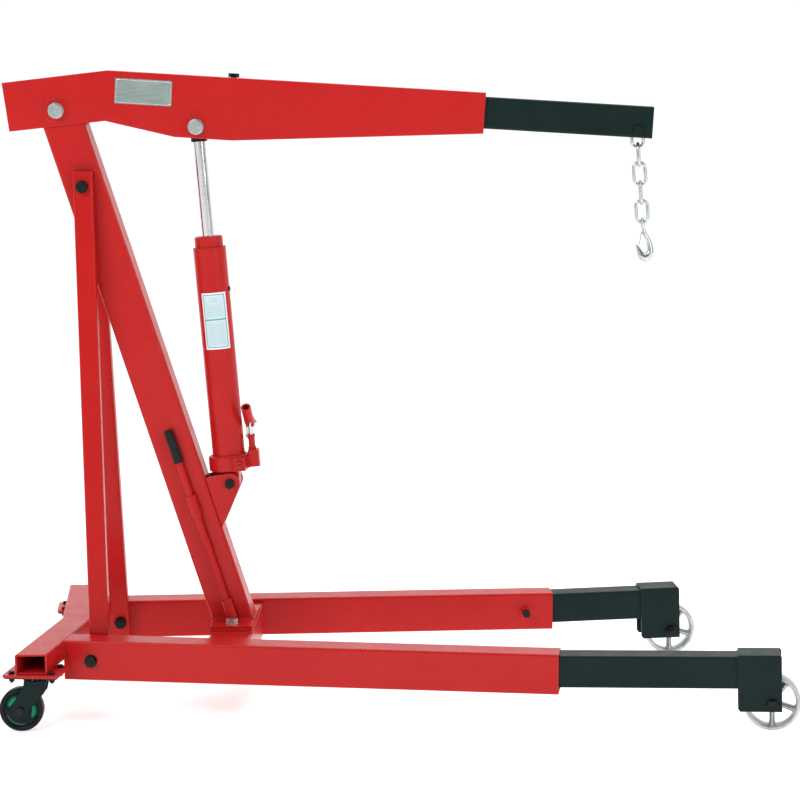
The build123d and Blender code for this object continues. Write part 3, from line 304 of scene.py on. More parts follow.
def cast_metal(name, colour, shade, roughness, metallic):
    """Sand-cast surface under a thin silver coat."""
    s = Shader(name)
    base = s.mix(s.ramp(s.noise(40.0, 5.0, 0.7), 0.0, 1.0, 0.35, 0.7), colour, shade)
    pits = s.ramp(s.noise(300.0, 3.0, 0.6), 1.0, 0.0, 0.30, 0.42)
    s.link(s.mix(pits, base, tuple(0.55 * c for c in shade)), "Base Color")
    s.link(s.ramp(s.noise(90.0, 4.0), roughness - 0.1, roughness + 0.12, 0.3, 0.7), "Roughness")
    s.set(Metallic=metallic)
    s.bump(s.noise(380.0, 4.0, 0.65), 0.0005, 0.4)
    return s.material


def plated_steel(name, colour, shade, roughness):
    """Zinc or bare steel with cloudy plating, fine handling marks and a painted highlight along its edges."""
    s = Shader(name)
    rounded, edge = s.edge(0.7 * MM)
    clouds = s.ramp(s.noise(120.0, 5.0, 0.7), 0.0, 1.0, 0.3, 0.7)
    base = s.mix(clouds, colour, shade)
    # Painted highlight: sharp edges are mixed halfway to a colour three times as light.
    s.link(s.mix(s.math("MULTIPLY", edge, 0.5), base, tuple(min(0.85, 3.0 * c) for c in colour)), "Base Color")
    s.link(s.ramp(s.noise(260.0, 4.0, 0.7), roughness - 0.08, roughness + 0.14, 0.3, 0.75), "Roughness")
    s.set(Metallic=1.0)
    s.bump(s.noise(900.0, 2.0, 0.5), 0.00008, 0.4, rounded)
    return s.material


def chrome_rod(name):
    """Hard chrome with the hair lines of its last polish."""
    s = Shader(name)
    s.link(s.mix(s.noise(60.0, 3.0), (0.80, 0.81, 0.82), (0.66, 0.68, 0.70)), "Base Color")
    lines = s.noise(500.0, 3.0, 0.6, (1, 1, 0.02))
    s.link(s.ramp(lines, 0.10, 0.24, 0.3, 0.8), "Roughness")
    s.set(Metallic=1.0)
    s.bump(lines, 0.00003, 0.3)
    return s.material


def moulded(name, colour, shade, roughness):
    """Moulded plastic or rubber with a fine grain and dust in it."""
    s = Shader(name)
    base = s.mix(s.ramp(s.noise(30.0, 5.0, 0.7), 0.0, 1.0, 0.35, 0.75), colour, shade)
    dust = s.ramp(s.noise(140.0, 6.0, 0.8), 0.0, 0.35, 0.58, 0.80)
    s.link(s.mix(dust, base, tuple(min(1.0, 0.02 + 1.5 * c) for c in shade)), "Base Color")
    s.link(s.ramp(s.noise(70.0, 4.0), roughness - 0.08, roughness + 0.1, 0.3, 0.7), "Roughness")
    s.set(Specular_IOR_Level=0.18)
    s.bump(s.noise(450.0, 3.0, 0.6), 0.0002, 0.35)
    return s.material


def brushed_plate(name, along):
    """Brushed metal whose lines run along a direction."""
    s = Shader(name)
    turn = (0, math.atan2(-along.z, along.x), 0)
    lines = s.noise(900.0, 4.0, stretch=(0.03, 1, 1), turn=turn)
    base = s.mix(s.ramp(lines, 0.0, 1.0, 0.3, 0.7), (0.42, 0.50, 0.47), (0.24, 0.31, 0.29))
    s.link(s.mix(s.ramp(s.noise(18.0, 3.0), 0.0, 0.5, 0.4, 0.7), base, (0.52, 0.58, 0.55)), "Base Color")
    s.link(s.ramp(lines, 0.30, 0.5, 0.3, 0.7), "Roughness")
    s.set(Metallic=0.85)
    s.bump(lines, 0.00006, 0.5)
    return s.material


RED = sprayed_paint(
    "red_paint",
    colour=(0.50, 0.013, 0.012),
    shade=(0.465, 0.010, 0.010),
    # lighter red painted on the edges as a highlight
    edge_highlight_colour=(0.76, 0.15, 0.13),
    roughness=0.30,
    coat=0.10,
    gloss=0.16,
)
BLACK = sprayed_paint(
    "black_paint",
    colour=(0.006, 0.019, 0.018),
    shade=(0.004, 0.014, 0.014),
    # lighter grey-green painted on the edges as a highlight
    edge_highlight_colour=(0.04, 0.07, 0.07),
    roughness=0.40,
    coat=0.03,
    gloss=0.12,
)
CAST = cast_metal("cast_silver", (0.62, 0.63, 0.64), (0.46, 0.47, 0.48), roughness=0.40, metallic=0.75)
ZINC = plated_steel("zinc", (0.64, 0.68, 0.68), (0.46, 0.51, 0.51), roughness=0.30)
DARK = plated_steel("blackened_steel", (0.030, 0.035, 0.035), (0.014, 0.018, 0.018), roughness=0.42)
PALE = plated_steel("polished_steel", (0.78, 0.79, 0.80), (0.62, 0.64, 0.66), roughness=0.22)
CHROME = chrome_rod("chrome")
RUBBER = moulded("black_rubber", (0.010, 0.012, 0.014), (0.018, 0.021, 0.023), roughness=0.62)
TREAD = moulded("black_tread", (0.004, 0.008, 0.011), (0.007, 0.012, 0.016), roughness=0.42)
GREEN = moulded("green_core", (0.02, 0.42, 0.22), (0.015, 0.34, 0.17), roughness=0.38)
# Teal stands in for the light reflected by the casters' raised ring: a painted reflection.
PAINTED_REFLECTION_TEAL = moulded("teal_ring_reflection", (0.035, 0.10, 0.10), (0.06, 0.14, 0.14), roughness=0.35)
PLATE = brushed_plate("brushed_plate", axis("boom_reach"))


# Printed label ----------------------------------------------------------------------------------------


def label_print():
    """A pale sheet with a coloured border and two panels of plain ruled bars."""
    s = Shader("label_print")
    along = axis("ram_stroke")
    across = Vector((0, 1, 0)).cross(along)
    cloud = points("cylinder_label")
    heights = cloud @ np.array(along)
    widths = cloud @ np.array(across)
    low, high = heights.min(), heights.max()
    middle, half = (widths.min() + widths.max()) / 2, (widths.max() - widths.min()) / 2

    def measure(direction, offset, span):
        dot = s.node("ShaderNodeVectorMath", {0: s.object, 1: direction}, operation="DOT_PRODUCT")
        return s.math("DIVIDE", s.math("SUBTRACT", dot.outputs["Value"], offset), span)

    up = measure(along, low, high - low)  # 0 at the foot of the label, 1 at its head
    out = s.math("ABSOLUTE", measure(across, middle, half))  # 0 in the middle, 1 at the edges

    def between(value, a, b):
        return s.math("MULTIPLY", s.math("GREATER_THAN", value, a), s.math("LESS_THAN", value, b))

    def panel(a, b, edge):
        """1 in a rectangle from height a to b, and as wide as this share of the label."""
        return s.math("MULTIPLY", between(up, a, b), s.math("LESS_THAN", out, edge))

    white, pale = (0.82, 0.86, 0.88), (0.56, 0.72, 0.76)
    teal, ink = (0.02, 0.26, 0.36), (0.20, 0.26, 0.32)
    colour = s.mix(panel(0.030, 0.970, 0.89), white, teal)
    colour = s.mix(panel(0.042, 0.958, 0.84), colour, pale)
    colour = s.mix(panel(0.515, 0.535, 0.89), colour, teal)
    rows = s.math("GREATER_THAN", s.math("FRACT", s.math("MULTIPLY", up, 30.0)), 0.60)
    blocks = s.math("MAXIMUM", panel(0.09, 0.46, 0.66), panel(0.57, 0.79, 0.66))
    heading = s.math("MAXIMUM", panel(0.845, 0.860, 0.42), panel(0.885, 0.900, 0.26))
    bars = s.math("MAXIMUM", s.math("MULTIPLY", rows, blocks), heading)
    colour = s.mix(s.math("MULTIPLY", bars, 0.34), colour, ink)
    s.link(colour, "Base Color")
    s.link(s.ramp(s.noise(60.0, 3.0), 0.28, 0.42, 0.3, 0.7), "Roughness")
    s.set(Coat_Weight=0.4, Coat_Roughness=0.15)
    s.bump(s.noise(90.0, 3.0), 0.0002, 0.3)
    return s.material


SLOT_MATERIAL = {
    "red_paint": RED,
    "black_paint": BLACK,
    "grey_cast": CAST,
    "chrome_steel": CHROME,
    "zinc": ZINC,
    "dark_steel": DARK,
    "black_plastic": TREAD,
    "black_rubber": RUBBER,
    "plate_metal": PLATE,
    "label_print": label_print(),
    "pale_steel": PALE,
}


def dress_cad_nodes():
    """Gives each CAD node the material of its slot in the record."""
    for row in frame["record"]["subparts"]:
        mesh = frame["nodes"][row["node"]].data
        mesh.materials.clear()
        mesh.materials.append(SLOT_MATERIAL[row["material_slot"]])


# Front wheels -----------------------------------------------------------------------------------------

WHEEL_WIDTH = 36 * MM
WHEEL_HUB = 58 * MM
SPOKES = 5
SPOKE_WEB = (12.5 * MM, 19 * MM)  # width and depth of a spoke's flat part
SPOKE_RIB = (6 * MM, 27 * MM)  # width and depth of the rib along its middle
SPOKE_FLARE = 0.75  # how much wider it is at its two ends
SPOKE_CORNER = 0.6  # power that squares its oval section


def cast_wheel_mesh(radius):
    """Open cast wheel about Z: rim, hub and ribbed spokes, melted into each other by a remesh."""
    bm = bmesh.new()
    half, r = WHEEL_WIDTH / 2, radius
    lathe(
        bm,
        [
            (r - 9.5 * MM, -half),
            (r - 4 * MM, -half - 0.2 * MM),
            (r - 1 * MM, -half + 2.2 * MM),
            (r - 0.2 * MM, -half + 6 * MM),
            (r, 0),
            (r - 0.2 * MM, half - 6 * MM),
            (r - 1 * MM, half - 2.2 * MM),
            (r - 4 * MM, half + 0.2 * MM),
            (r - 9.5 * MM, half),
            (r - 11 * MM, half - 7 * MM),
            (r - 12 * MM, 0),
            (r - 11 * MM, -half + 7 * MM),
        ],
        96,
    )
    hub = WHEEL_HUB / 2
    lathe(
        bm,
        [
            (9 * MM, -hub),
            (14.5 * MM, -hub),
            (15.5 * MM, -hub + 1.2 * MM),
            (17 * MM, 0),
            (15.5 * MM, hub - 1.2 * MM),
            (14.5 * MM, hub),
            (9 * MM, hub),
        ],
        48,
    )
    inner, outer = 12 * MM, r - 9 * MM
    for i in range(SPOKES):
        angle = math.radians(90 + 360 / SPOKES * i)
        ahead = Vector((math.cos(angle), math.sin(angle), 0))
        sideways = Vector((-ahead.y, ahead.x, 0))
        for width, depth in (SPOKE_WEB, SPOKE_RIB):
            rings = []
            for k in range(12):
                t = k / 11
                flare = 1 + SPOKE_FLARE * (2 * t - 1) ** 4
                ring = []
                for q in range(16):
                    a = 2 * math.pi * q / 16
                    c, s = math.cos(a), math.sin(a)
                    x = width / 2 * flare * math.copysign(abs(c) ** SPOKE_CORNER, c)
                    z = depth / 2 * math.copysign(abs(s) ** SPOKE_CORNER, s)
                    at = ahead * (inner + (outer - inner) * t) + sideways * x
                    ring.append(bm.verts.new((at.x, at.y, z)))
                rings.append(ring)
            ring_strip(bm, rings, False)
            bm.faces.new(rings[0])
            bm.faces.new(rings[-1])
    return melted(finished(bm, "cast_wheel"), 1.3 * MM, 6)


def front_wheels():
    for side in SIDES:
        centre = place(f"{side}_front_wheel_roll")
        mesh = cast_wheel_mesh(centre.z)
        matrix = basis(centre, (1, 0, 0), axis(f"{side}_front_wheel_roll"))
        if side == "right":
            matrix = matrix @ Matrix.Rotation(math.pi, 4, "X")
        wheel = piece(f"{side}_cast_wheel", mesh, matrix, CAST, f"{side}_front_wheel")
        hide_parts(f"{side}_front_wheel")


# Caster wheels ----------------------------------------------------------------------------------------

CASTER_HALF = 15 * MM
POCKETS = (139, 64, -12)  # where the windows in the wheel's cover lie, in degrees
POCKET_REACH = 30  # how far a window goes to each side of there, in degrees
POCKET_MIDDLE, POCKET_HEIGHT = 30.5 * MM, 6.6 * MM
COVER_FACE, COVER_THICK = 11.5 * MM, 2.4 * MM
COVER_RING, COVER_RING_HALF = 1.2 * MM, 1.6 * MM  # height and half width of the raised ring
# The teal arc is a painted reflection of the light on the cover's raised ring, over one stretch of the rim only.
ARC_RADIUS, ARC_HALF, ARC_FACE = 34 * MM, 2.2 * MM, 11.0 * MM
ARC_FROM, ARC_SWEEP = 200, 85  # in degrees


def caster_tread(radius):
    """Tyre with rounded shoulders."""
    bm = bmesh.new()
    h, r = CASTER_HALF, radius
    outline = [(r - 11 * MM, -h + 1 * MM), (r - 6 * MM, -h)]
    for k in range(7):
        a = math.pi / 2 * k / 6
        outline.append((r - 5 * MM + 5 * MM * math.sin(a), -h + 5 * MM - 5 * MM * math.cos(a)))
    outline += [(x, -z) for x, z in reversed(outline)]
    lathe(bm, outline, 96)
    return finished(bm, "tread")


def caster_core(radius):
    """Hub and web, which show through the cover's windows."""
    bm = bmesh.new()
    lathe(
        bm,
        [
            (5.4 * MM, -17 * MM),
            (13 * MM, -17 * MM),
            (14 * MM, -16 * MM),
            (14.5 * MM, -8 * MM),
            (radius - 10 * MM, -8 * MM),
            (radius - 10 * MM, 8 * MM),
            (14.5 * MM, 8 * MM),
            (14 * MM, 16 * MM),
            (13 * MM, 17 * MM),
            (5.4 * MM, 17 * MM),
        ],
        72,
    )
    return finished(bm, "core")


def in_pocket(corner):
    """Whether this point of the cover lies in one of its tear-shaped windows."""
    around = math.degrees(math.atan2(corner.y, corner.x))
    across = math.hypot(corner.x, corner.y) - POCKET_MIDDLE
    for pocket in POCKETS:
        off = ((around - pocket + 180) % 360 - 180) / POCKET_REACH
        if abs(off) < 1 and abs(across) < POCKET_HEIGHT * math.sqrt((1 + off) / 2) * (1 - off) ** 0.35 * 1.25:
            return True
    return False


def caster_cover(radius, face):
    """Disc over one side of the core, with tear-shaped windows and a raised ring."""
    bm = bmesh.new()
    steps, rows = 180, 12
    inner, outer = 14.3 * MM, radius - 10.2 * MM
    rings = []
    for row in range(rows + 1):
        r = inner + (outer - inner) * row / rows
        bulge = COVER_RING * math.exp(-(((r - (outer - 3 * MM)) / COVER_RING_HALF) ** 2))
        ring = []
        for k in range(steps):
            a = 2 * math.pi * k / steps
            ring.append(bm.verts.new((r * math.cos(a), r * math.sin(a), face * (COVER_FACE + bulge))))
        rings.append(ring)
    for a_ring, b_ring in zip(rings, rings[1:]):
        for k in range(steps):
            j = (k + 1) % steps
            if not in_pocket((a_ring[k].co + b_ring[j].co) / 2):
                bm.faces.new((a_ring[k], a_ring[j], b_ring[j], b_ring[k]))
    smooth = {"factor": 0.5, "iterations": 2}
    thick = {"thickness": COVER_THICK, "offset": 1.0 if face < 0 else -1.0}
    result = evaluated(finished(bm, "cover"), ("SMOOTH", smooth), ("SOLIDIFY", thick))
    for polygon in result.polygons:
        polygon.use_smooth = True
    return result


def painted_reflection_arc():
    """Teal arc near the rim, standing on the cover's face: a painted reflection of the light on its raised ring.
    """
    bm = bmesh.new()
    path = []
    for k in range(25):
        a = math.radians(ARC_FROM + ARC_SWEEP * k / 24)
        path.append(Vector((ARC_RADIUS * math.cos(a), ARC_RADIUS * math.sin(a), 0)))
    radii = [ARC_HALF * math.sin(math.pi * (k + 1.5) / 27) ** 0.4 for k in range(25)]
    tube(bm, path, radii, 12)
    return finished(bm, "arc")


def caster_wheels():
    for side in SIDES:
        centre = place(f"{side}_caster_roll")
        body = f"{side}_caster_wheel"
        matrix = basis(centre, (1, 0, 0), (0, -1, 0))
        tread = piece(f"{side}_tread", caster_tread(centre.z), matrix, TREAD, body)
        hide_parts(f"{side}_caster_wheel")
        piece(f"{side}_core", caster_core(centre.z), matrix, GREEN, body)
        for face, label in ((1, "a"), (-1, "b")):
            cover = caster_cover(centre.z, face)
            piece(f"{side}_cover_{label}", cover, matrix, TREAD, body)
            # A painted reflection on each face, turning with the wheel.
            lift = Matrix.Translation((0, 0, face * ARC_FACE))
            piece(f"{side}_arc_{label}", painted_reflection_arc(), matrix @ lift, PAINTED_REFLECTION_TEAL, body)


# Chain and hook ---------------------------------------------------------------------------------------

WIRE = 8 * MM
LINKS = 5


def chain_links():
    """Oval links of round wire, each a little swollen where its ends are welded."""
    for i in range(1, LINKS + 1):
        node = f"chain_link_{i}"
        centre, (long, wide, _) = principal(node)
        cloud = points(node)
        reach = np.ptp(cloud @ np.array(long)) / 2 - WIRE / 2
        bow = np.ptp(cloud @ np.array(wide)) / 2 - WIRE / 2
        path = []
        for k in range(64):
            a = 2 * math.pi * k / 64
            along = (reach - bow) * math.copysign(1, math.sin(a)) + bow * math.sin(a)
            path.append(centre + long * along + wide * (bow * math.cos(a)))
        radii = [WIRE / 2] * 64
        for k, swell in ((62, 0.25), (63, 0.7), (0, 0.7), (1, 0.25)):
            radii[k] = WIRE / 2 + swell * 0.5 * MM
        bm = bmesh.new()
        tube(bm, path, radii, 16, closed=True)
        link = piece(f"link_{i}", finished(bm, node), Matrix(), ZINC, node)
        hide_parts(node)


HOOK_PATH = [  # across, down and half thickness of the hook's bar, in millimetres from the eye's middle
    (0.0, 10.0, 4.4),
    (2.5, 21.0, 5.0),
    (7.0, 32.0, 5.6),
    (11.3, 42.0, 6.2),
    (13.4, 53.0, 6.9),
    (14.0, 65.0, 8.3),
    (9.0, 75.5, 10.2),
    (1.0, 79.6, 11.6),
    (-6.6, 75.0, 10.2),
    (-10.8, 66.5, 7.4),
    (-14.0, 57.5, 4.8),
    (-17.2, 51.0, 2.6),
    (-19.2, 47.2, 0.9),
]
EYE_RADIUS, EYE_BAR, EYE_BELOW_PIVOT = 11 * MM, 9 * MM, 2.2 * MM
LATCH_TIP = (-11.8 * MM, 50.0 * MM)  # across and down from the eye's middle
LATCH_HALF, LATCH_HALF_TIP = 6.9, 3.7  # half widths at the pivot and the tip, in millimetres
LATCH_BACK = 2.0 * MM  # how far the strip stands off the bar at its pivot
SPRING_RADIUS, SPRING_WIRE, SPRING_WIDTH = 3.2 * MM, 0.55 * MM, 9 * MM
RIVET_HALF, RIVET_RADIUS = 7.9 * MM, 1.7 * MM


def hook_basis():
    """X across to the hook's back, Z down the chain, from the middle of the eye."""
    down = axis("hook_swing").cross(Vector((0, 1, 0)))
    if down.z > 0:
        down.negate()
    across = Vector((0, 1, 0)).cross(down)
    if across.x < 0:
        across.negate()
    return place("hook_swing") + down * EYE_BELOW_PIVOT, across, down


def forged_hook():
    """Forged bar of changing thickness on a round eye."""
    middle, across, down = hook_basis()
    bm = bmesh.new()
    curve = smooth_path(HOOK_PATH, 6)
    path = [middle + across * (p[0] * MM) + down * (p[1] * MM) for p in curve]
    tube(bm, path, [p[2] * MM for p in curve], 20, flat=0.9)
    ring = []
    for k in range(48):
        a = 2 * math.pi * k / 48
        ring.append(middle + Vector((0, 1, 0)) * (EYE_RADIUS * math.cos(a)) + down * (EYE_RADIUS * math.sin(a)))
    tube(bm, ring, [EYE_BAR / 2] * 48, 16, closed=True)
    mesh = melted(finished(bm, "hook"), 0.8 * MM, 4)
    made = piece("forged_hook", mesh, Matrix(), ZINC, "hook")
    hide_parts("hook")


def safety_latch():
    """Folded spring latch: a bowed strip with two lips, and the coil spring and rivet at its pivot."""
    middle, across, down = hook_basis()
    pivot = place("hook_latch_spring")
    tip = middle + across * LATCH_TIP[0] + down * LATCH_TIP[1]
    ahead = (tip - pivot).normalized()
    side = Vector((0, 1, 0))
    out = ahead.cross(side).normalized()
    length = (tip - pivot).length
    bm = bmesh.new()
    rows = []
    for k in range(13):
        t = k / 12
        bow = out * (0.5 * MM * math.sin(math.pi * t) - LATCH_BACK * (1 - t))
        wide = side * ((LATCH_HALF + (LATCH_HALF_TIP - LATCH_HALF) * t) * MM)
        at = pivot + ahead * (length * t) + bow
        lip = out * (2.2 * MM * (1 - 0.6 * t))
        crown = out * (0.5 * MM)
        left = (at - wide - lip, at - wide, at - wide / 2 + crown)
        right = (at + wide / 2 + crown, at + wide, at + wide - lip)
        rows.append([bm.verts.new(p) for p in left + right])
    for a, b in zip(rows, rows[1:]):
        for i in range(5):
            bm.faces.new((a[i], a[i + 1], b[i + 1], b[i]))
    latch = piece("safety_latch", finished(bm, "latch"), Matrix(), PALE, "hook_latch")
    skin = latch.modifiers.new("Thickness", "SOLIDIFY")
    skin.thickness = 0.9 * MM
    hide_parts("hook_latch")
    bm = bmesh.new()
    coil = []
    for k in range(61):
        turn = 0.42 * k
        centre = pivot + side * ((k / 60 - 0.5) * SPRING_WIDTH)
        coil.append(centre + ahead * (SPRING_RADIUS * math.cos(turn)) + out * (SPRING_RADIUS * math.sin(turn)))
    tube(bm, coil, [SPRING_WIRE] * len(coil), 8)
    rivet = [pivot - side * RIVET_HALF, pivot, pivot + side * RIVET_HALF]
    tube(bm, rivet, [RIVET_RADIUS] * len(rivet), 16)
    piece("latch_spring", finished(bm, "spring"), Matrix(), ZINC, "hook_latch")


# Handle grip ------------------------------------------------------------------------------------------


GRIP_LENGTH, GRIP_RINGS = 80 * MM, 14


def ribbed_grip():
    """Rubber sleeve with a flange, finger rings and a domed end."""
    low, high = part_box("handle_grip")
    end = GRIP_LENGTH / 2
    outline = [(8.4 * MM, -end), (11.6 * MM, -end), (11.8 * MM, -end + 3 * MM)]
    steps = GRIP_RINGS * 4
    for k in range(steps + 1):
        t = k / steps
        radius = 10.7 * MM + 0.55 * MM * math.cos(2 * math.pi * GRIP_RINGS * t)
        outline.append((radius, -end + 5 * MM + (GRIP_LENGTH - 11 * MM) * t))
    outline += [(10.6 * MM, end - 3 * MM), (8.0 * MM, end), (0.6 * MM, end + 0.6 * MM)]
    outline += [(0.6 * MM, end - 3.4 * MM), (8.4 * MM, end - 3.4 * MM)]
    bm = bmesh.new()
    lathe(bm, outline, 48)
    matrix = basis((low + high) / 2, (0, 1, 0), axis("pump_handle_stow"))
    grip = piece("ribbed_grip", finished(bm, "grip"), matrix, RUBBER, "pump_handle")
    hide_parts("handle_grip")


# Weld beads -------------------------------------------------------------------------------------------


BEAD_STEP = 1.4 * MM
LEG_TUBE = 72 * MM
LEG_SPLAY = 0.104  # how far each leg turns out for each unit of length
BRACKET_TUBE, BRACKET_WALL, BRACKET_DROP = 74 * MM, 4.6 * MM, 78 * MM
RAM_RINGS = (  # height up the ram, then the radius of the ring and of its bead, in millimetres
    ("foot", 64, 38.9, 2.0),
    ("head", 556, 38.5, 1.0),
)


def weld_bead(name, corners, radius, body, closed=False, material=RED):
    """A rippled bead laid along straight runs between corners."""
    corners = [Vector(corner) for corner in corners]
    ends = corners[1:] + corners[:1] if closed else corners[1:]
    path = []
    for a, b in zip(corners, ends):
        count = max(2, round((b - a).length / BEAD_STEP))
        path += [a.lerp(b, k / count) for k in range(count)]
    if not closed:
        path.append(corners[-1])
    radii = [radius * (1 + 0.16 * math.sin(1.9 * k) + 0.08 * math.sin(0.31 * k)) for k in range(len(path))]
    bm = bmesh.new()
    tube(bm, path, radii, 8, closed)
    return piece(name, finished(bm, name), Matrix(), material, body)


def circle_points(centre, normal, radius, count=48):
    """Points round a circle, for a bead that closes on itself."""
    matrix = basis(centre, Vector(normal).orthogonal(), normal)
    turns = [2 * math.pi * k / count for k in range(count)]
    return [matrix @ Vector((radius * math.cos(a), radius * math.sin(a), 0)) for a in turns]


def outward(sign):
    """The direction square to a leg's outer face."""
    return Vector((-sign * LEG_SPLAY, 1, 0)).normalized() * sign


def boom_welds():
    """A ring round each end of the pivot's bush, and a seam down each side at the bend."""
    pivot = place("boom_lift")
    cloud = points("boom")
    offset = np.abs(cloud[:, 1])
    skin = np.median(offset[offset > 0.04])  # most of the outer points lie in the box's two sides
    peak = cloud[:, 2].max()
    bend = cloud[cloud[:, 2] > peak - 0.5 * MM][:, 0].mean()
    top, bottom = peak - 1.5 * MM, pivot.z - 22 * MM
    for sign, side in SIGNED_SIDES:
        ring = circle_points((pivot.x, sign * (skin + 0.2 * MM), pivot.z), (0, 1, 0), 29 * MM)
        weld_bead(f"pivot_weld_{side}", ring, 2.2 * MM, "boom", True)
        seam = [(bend, sign * skin, top), (bend, sign * skin, bottom)]
        weld_bead(f"bend_weld_{side}", seam, 1.1 * MM, "boom")


def mast_welds():
    """Beads round the mast's foot and along the lower edge of the foot plates."""
    cloud = points("mast")
    foot = cloud[cloud[:, 2] < cloud[:, 2].min() + 0.5 * MM]
    x0, y0, z0 = foot.min(0)
    x1, y1, _ = foot.max(0)
    z = z0 + 0.5 * MM
    weld_bead("mast_foot_weld", [(x0, y0, z), (x1, y0, z), (x1, y1, z), (x0, y1, z)], 3.0 * MM, "frame", True)
    low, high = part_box("foot_plates")
    x0, x1 = low.x + 1.2 * MM, high.x - 1.2 * MM
    corners = [(x0, low.y, low.z), (x1, low.y, low.z), (x1, high.y, low.z), (x0, high.y, low.z)]
    weld_bead("foot_plate_weld", corners, 2.4 * MM, "frame", True)


def base_welds():
    """Beads where the cross-member and the rear beam meet the legs."""
    low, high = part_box("cross_member")
    beam_low, beam_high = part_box("rear_beam")
    for sign, side in SIGNED_SIDES:
        cloud = points(f"{side}_leg")
        out = outward(sign)
        spread = cloud @ np.array(out)
        outer = spread.max()
        inner = outer - LEG_TUBE
        for x, label in ((low.x, "back"), (high.x, "front")):
            y = (inner - out.x * x) / out.y
            line = [(x, y, low.z + 2 * MM), (x, y, high.z - 1 * MM)]
            weld_bead(f"{side}_cross_{label}_weld", line, 2.2 * MM, "frame")
        face = cloud[spread > outer - 1 * MM]
        x = face[:, 0].min()
        y = (outer - out.x * x) / out.y
        back = face[face[:, 0] < x + 3 * MM]
        z0, z1 = beam_low.z, min(back[:, 2].max(), beam_high.z)
        weld_bead(f"{side}_beam_weld", [(x, y, z0 + 1 * MM), (x, y, z1 - 1 * MM)], 2.4 * MM, "frame")


def ram_welds():
    """Rings where the cylinder meets its foot and its collar."""
    up = axis("ram_stroke")
    foot = place("ram_tilt")
    for label, height, radius, bead in RAM_RINGS:
        ring = circle_points(foot + up * (height * MM), up, radius * MM, 96)
        weld_bead(f"ram_{label}_ring", ring, bead * MM, "ram", True)


def bracket_welds():
    """Beads down the leg extensions where the wheel brackets start."""
    for sign, side in SIGNED_SIDES:
        cloud = points(f"{side}_slide")
        ahead = axis(f"{side}_leg_reach")
        out = outward(sign)
        up = ahead.cross(out) * sign
        if up.z < 0:
            up.negate()
        along, spread, height = (cloud @ np.array(direction) for direction in (ahead, out, up))
        wide, top = spread.max(), height.max()
        start = along[spread > wide - 0.5 * MM].min()
        outer, inner = wide - BRACKET_WALL, wide - BRACKET_TUBE + BRACKET_WALL
        for spread_at, label in ((outer, "outer"), (inner, "inner")):
            heights = (top - BRACKET_DROP + 3 * MM, top - 5 * MM)
            line = [ahead * start + out * spread_at + up * h for h in heights]
            name = f"{side}_bracket_{label}_weld"
            weld_bead(name, line, 2.0 * MM, f"{side}_leg_extension", False, BLACK)


# Nameplate border -------------------------------------------------------------------------------------


BORDER_INSET, BORDER_RADIUS = 3 * MM, 0.9 * MM


def nameplate_border():
    """Raised rim just inside the blank nameplate's edge."""
    centre, (long, tall, _) = principal("nameplate")
    cloud = points("nameplate")
    a = np.ptp(cloud @ np.array(long)) / 2 - BORDER_INSET
    b = np.ptp(cloud @ np.array(tall)) / 2 - BORDER_INSET
    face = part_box("nameplate")[0].y - 0.1 * MM
    corners = []
    for p, q in ((-1, -1), (1, -1), (1, 1), (-1, 1)):
        at = centre + long * (a * p) + tall * (b * q)
        corners.append(Vector((at.x, face, at.z)))
    path = []
    for c, d in zip(corners, corners[1:] + corners[:1]):
        path += [c.lerp(d, k / 30) for k in range(1, 30)]
    bm = bmesh.new()
    tube(bm, path, [BORDER_RADIUS] * len(path), 8, True)
    piece("nameplate_border", finished(bm, "border"), Matrix(), PALE, "boom")


# Floor, light and camera ------------------------------------------------------------------------------

CAMERA_AT = (0.1931, -5.5927, 1.4594)
CAMERA_YAW, CAMERA_PITCH, CAMERA_ROLL = 0.03310, 0.13482, -0.01629  # left, down and tilt, in radians
CAMERA_LENS = 107.75
FLOOR_REACH = 450.0  # far enough that its edge is lost in the white room
LIGHTS_AIM = (0, 0, 0.7)


def camera():
    """The photograph's point of view."""
    cy, sy = math.cos(CAMERA_YAW), math.sin(CAMERA_YAW)
    cp, sp = math.cos(CAMERA_PITCH), math.sin(CAMERA_PITCH)
    ahead = Vector((-sy * cp, cy * cp, -sp))
    right = Vector((cy, sy, 0))
    up = right.cross(ahead)
    cr, sr = math.cos(CAMERA_ROLL), math.sin(CAMERA_ROLL)
    right, up = right * cr + up * sr, up * cr - right * sr
    data = bpy.data.cameras.new("camera")
    data.lens = CAMERA_LENS
    data.clip_end = 1000
    made = bpy.data.objects.new("camera", data)
    made.matrix_world = Matrix.Translation(CAMERA_AT) @ Matrix((right, up, -ahead)).transposed().to_4x4()
    bpy.context.scene.collection.objects.link(made)
    bpy.context.scene.camera = made


def soft_box(name, at, width, height, power):
    """A rectangular light aimed at the middle of the crane."""
    data = bpy.data.lights.new(name, "AREA")
    data.shape = "RECTANGLE"
    data.size, data.size_y = width, height
    data.energy = power
    made = bpy.data.objects.new(name, data)
    made.location = at
    made.rotation_mode = "QUATERNION"
    made.rotation_quaternion = (Vector(LIGHTS_AIM) - Vector(at)).to_track_quat("-Z", "Y")
    bpy.context.scene.collection.objects.link(made)


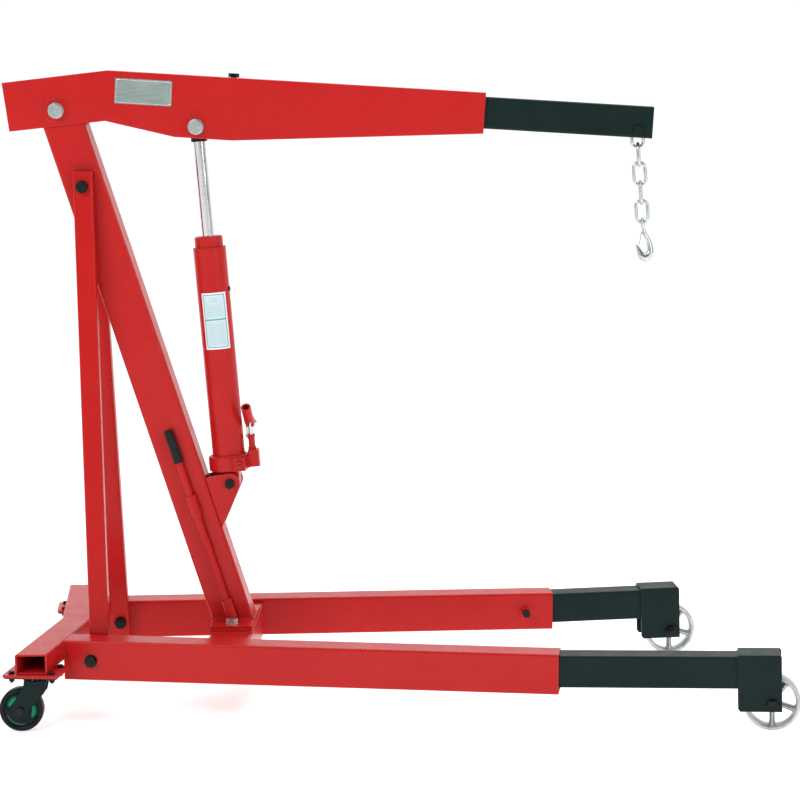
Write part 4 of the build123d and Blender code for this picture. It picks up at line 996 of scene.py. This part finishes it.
def floor():
    """A wide pale floor that glows a little, so that its shadows stay soft."""
    bm = bmesh.new()
    ends = (-FLOOR_REACH, FLOOR_REACH)
    corners = ((ends[0], ends[0]), (ends[1], ends[0]), (ends[1], ends[1]), (ends[0], ends[1]))
    bm.faces.new([bm.verts.new((x, y, 0)) for x, y in corners])
    mesh = finished(bm, "floor", False)
    s = Shader("studio_floor")
    s.link(s.mix(s.noise(2.0, 3.0), (0.80, 0.80, 0.80), (0.78, 0.78, 0.78)), "Base Color")
    s.link(s.ramp(s.noise(6.0, 3.0), 0.75, 0.85), "Roughness")
    s.set(Emission_Color=(1, 1, 1, 1), Emission_Strength=0.62, Specular_IOR_Level=0.1)
    mesh.materials.append(s.material)
    made = bpy.data.objects.new("floor", mesh)
    bpy.context.scene.collection.objects.link(made)


def room():
    """A room that is white behind the crane and dim in front, so that the paint reflects little of it.

    Seen directly, it is white all round.
    """
    world = bpy.data.worlds.new("studio")
    bpy.context.scene.world = world
    world.use_nodes = True
    tree = world.node_tree
    background = tree.nodes["Background"]
    background.inputs["Color"].default_value = (1, 1, 1, 1)
    split = tree.nodes.new("ShaderNodeSeparateXYZ")
    tree.links.new(tree.nodes.new("ShaderNodeTexCoord").outputs["Generated"], split.inputs[0])
    light = tree.nodes.new("ShaderNodeMapRange")
    for key, value in {"From Min": -0.35, "From Max": 0.55, "To Min": 0.10, "To Max": 1.06}.items():
        light.inputs[key].default_value = value
    tree.links.new(split.outputs["Y"], light.inputs["Value"])
    seen = tree.nodes.new("ShaderNodeLightPath").outputs["Is Camera Ray"]
    strength = tree.nodes.new("ShaderNodeMath")
    strength.operation = "MAXIMUM"
    tree.links.new(light.outputs[0], strength.inputs[0])
    tree.links.new(seen, strength.inputs[1])
    tree.links.new(strength.outputs[0], background.inputs["Strength"])


def studio():
    """Floor, room and three soft lights."""
    floor()
    room()
    soft_box("key", (-3.4, -4.2, 4.6), 2.6, 2.0, 180)
    soft_box("fill", (4.6, -4.4, 2.6), 2.4, 2.0, 95)
    soft_box("top", (0.2, 0.4, 4.8), 4.0, 3.0, 110)
    bpy.context.scene.view_settings.view_transform = "Standard"


dress_cad_nodes()
front_wheels()
caster_wheels()
chain_links()
forged_hook()
safety_latch()
ribbed_grip()
boom_welds()
mast_welds()
base_welds()
ram_welds()
bracket_welds()
nameplate_border()
studio()
camera()
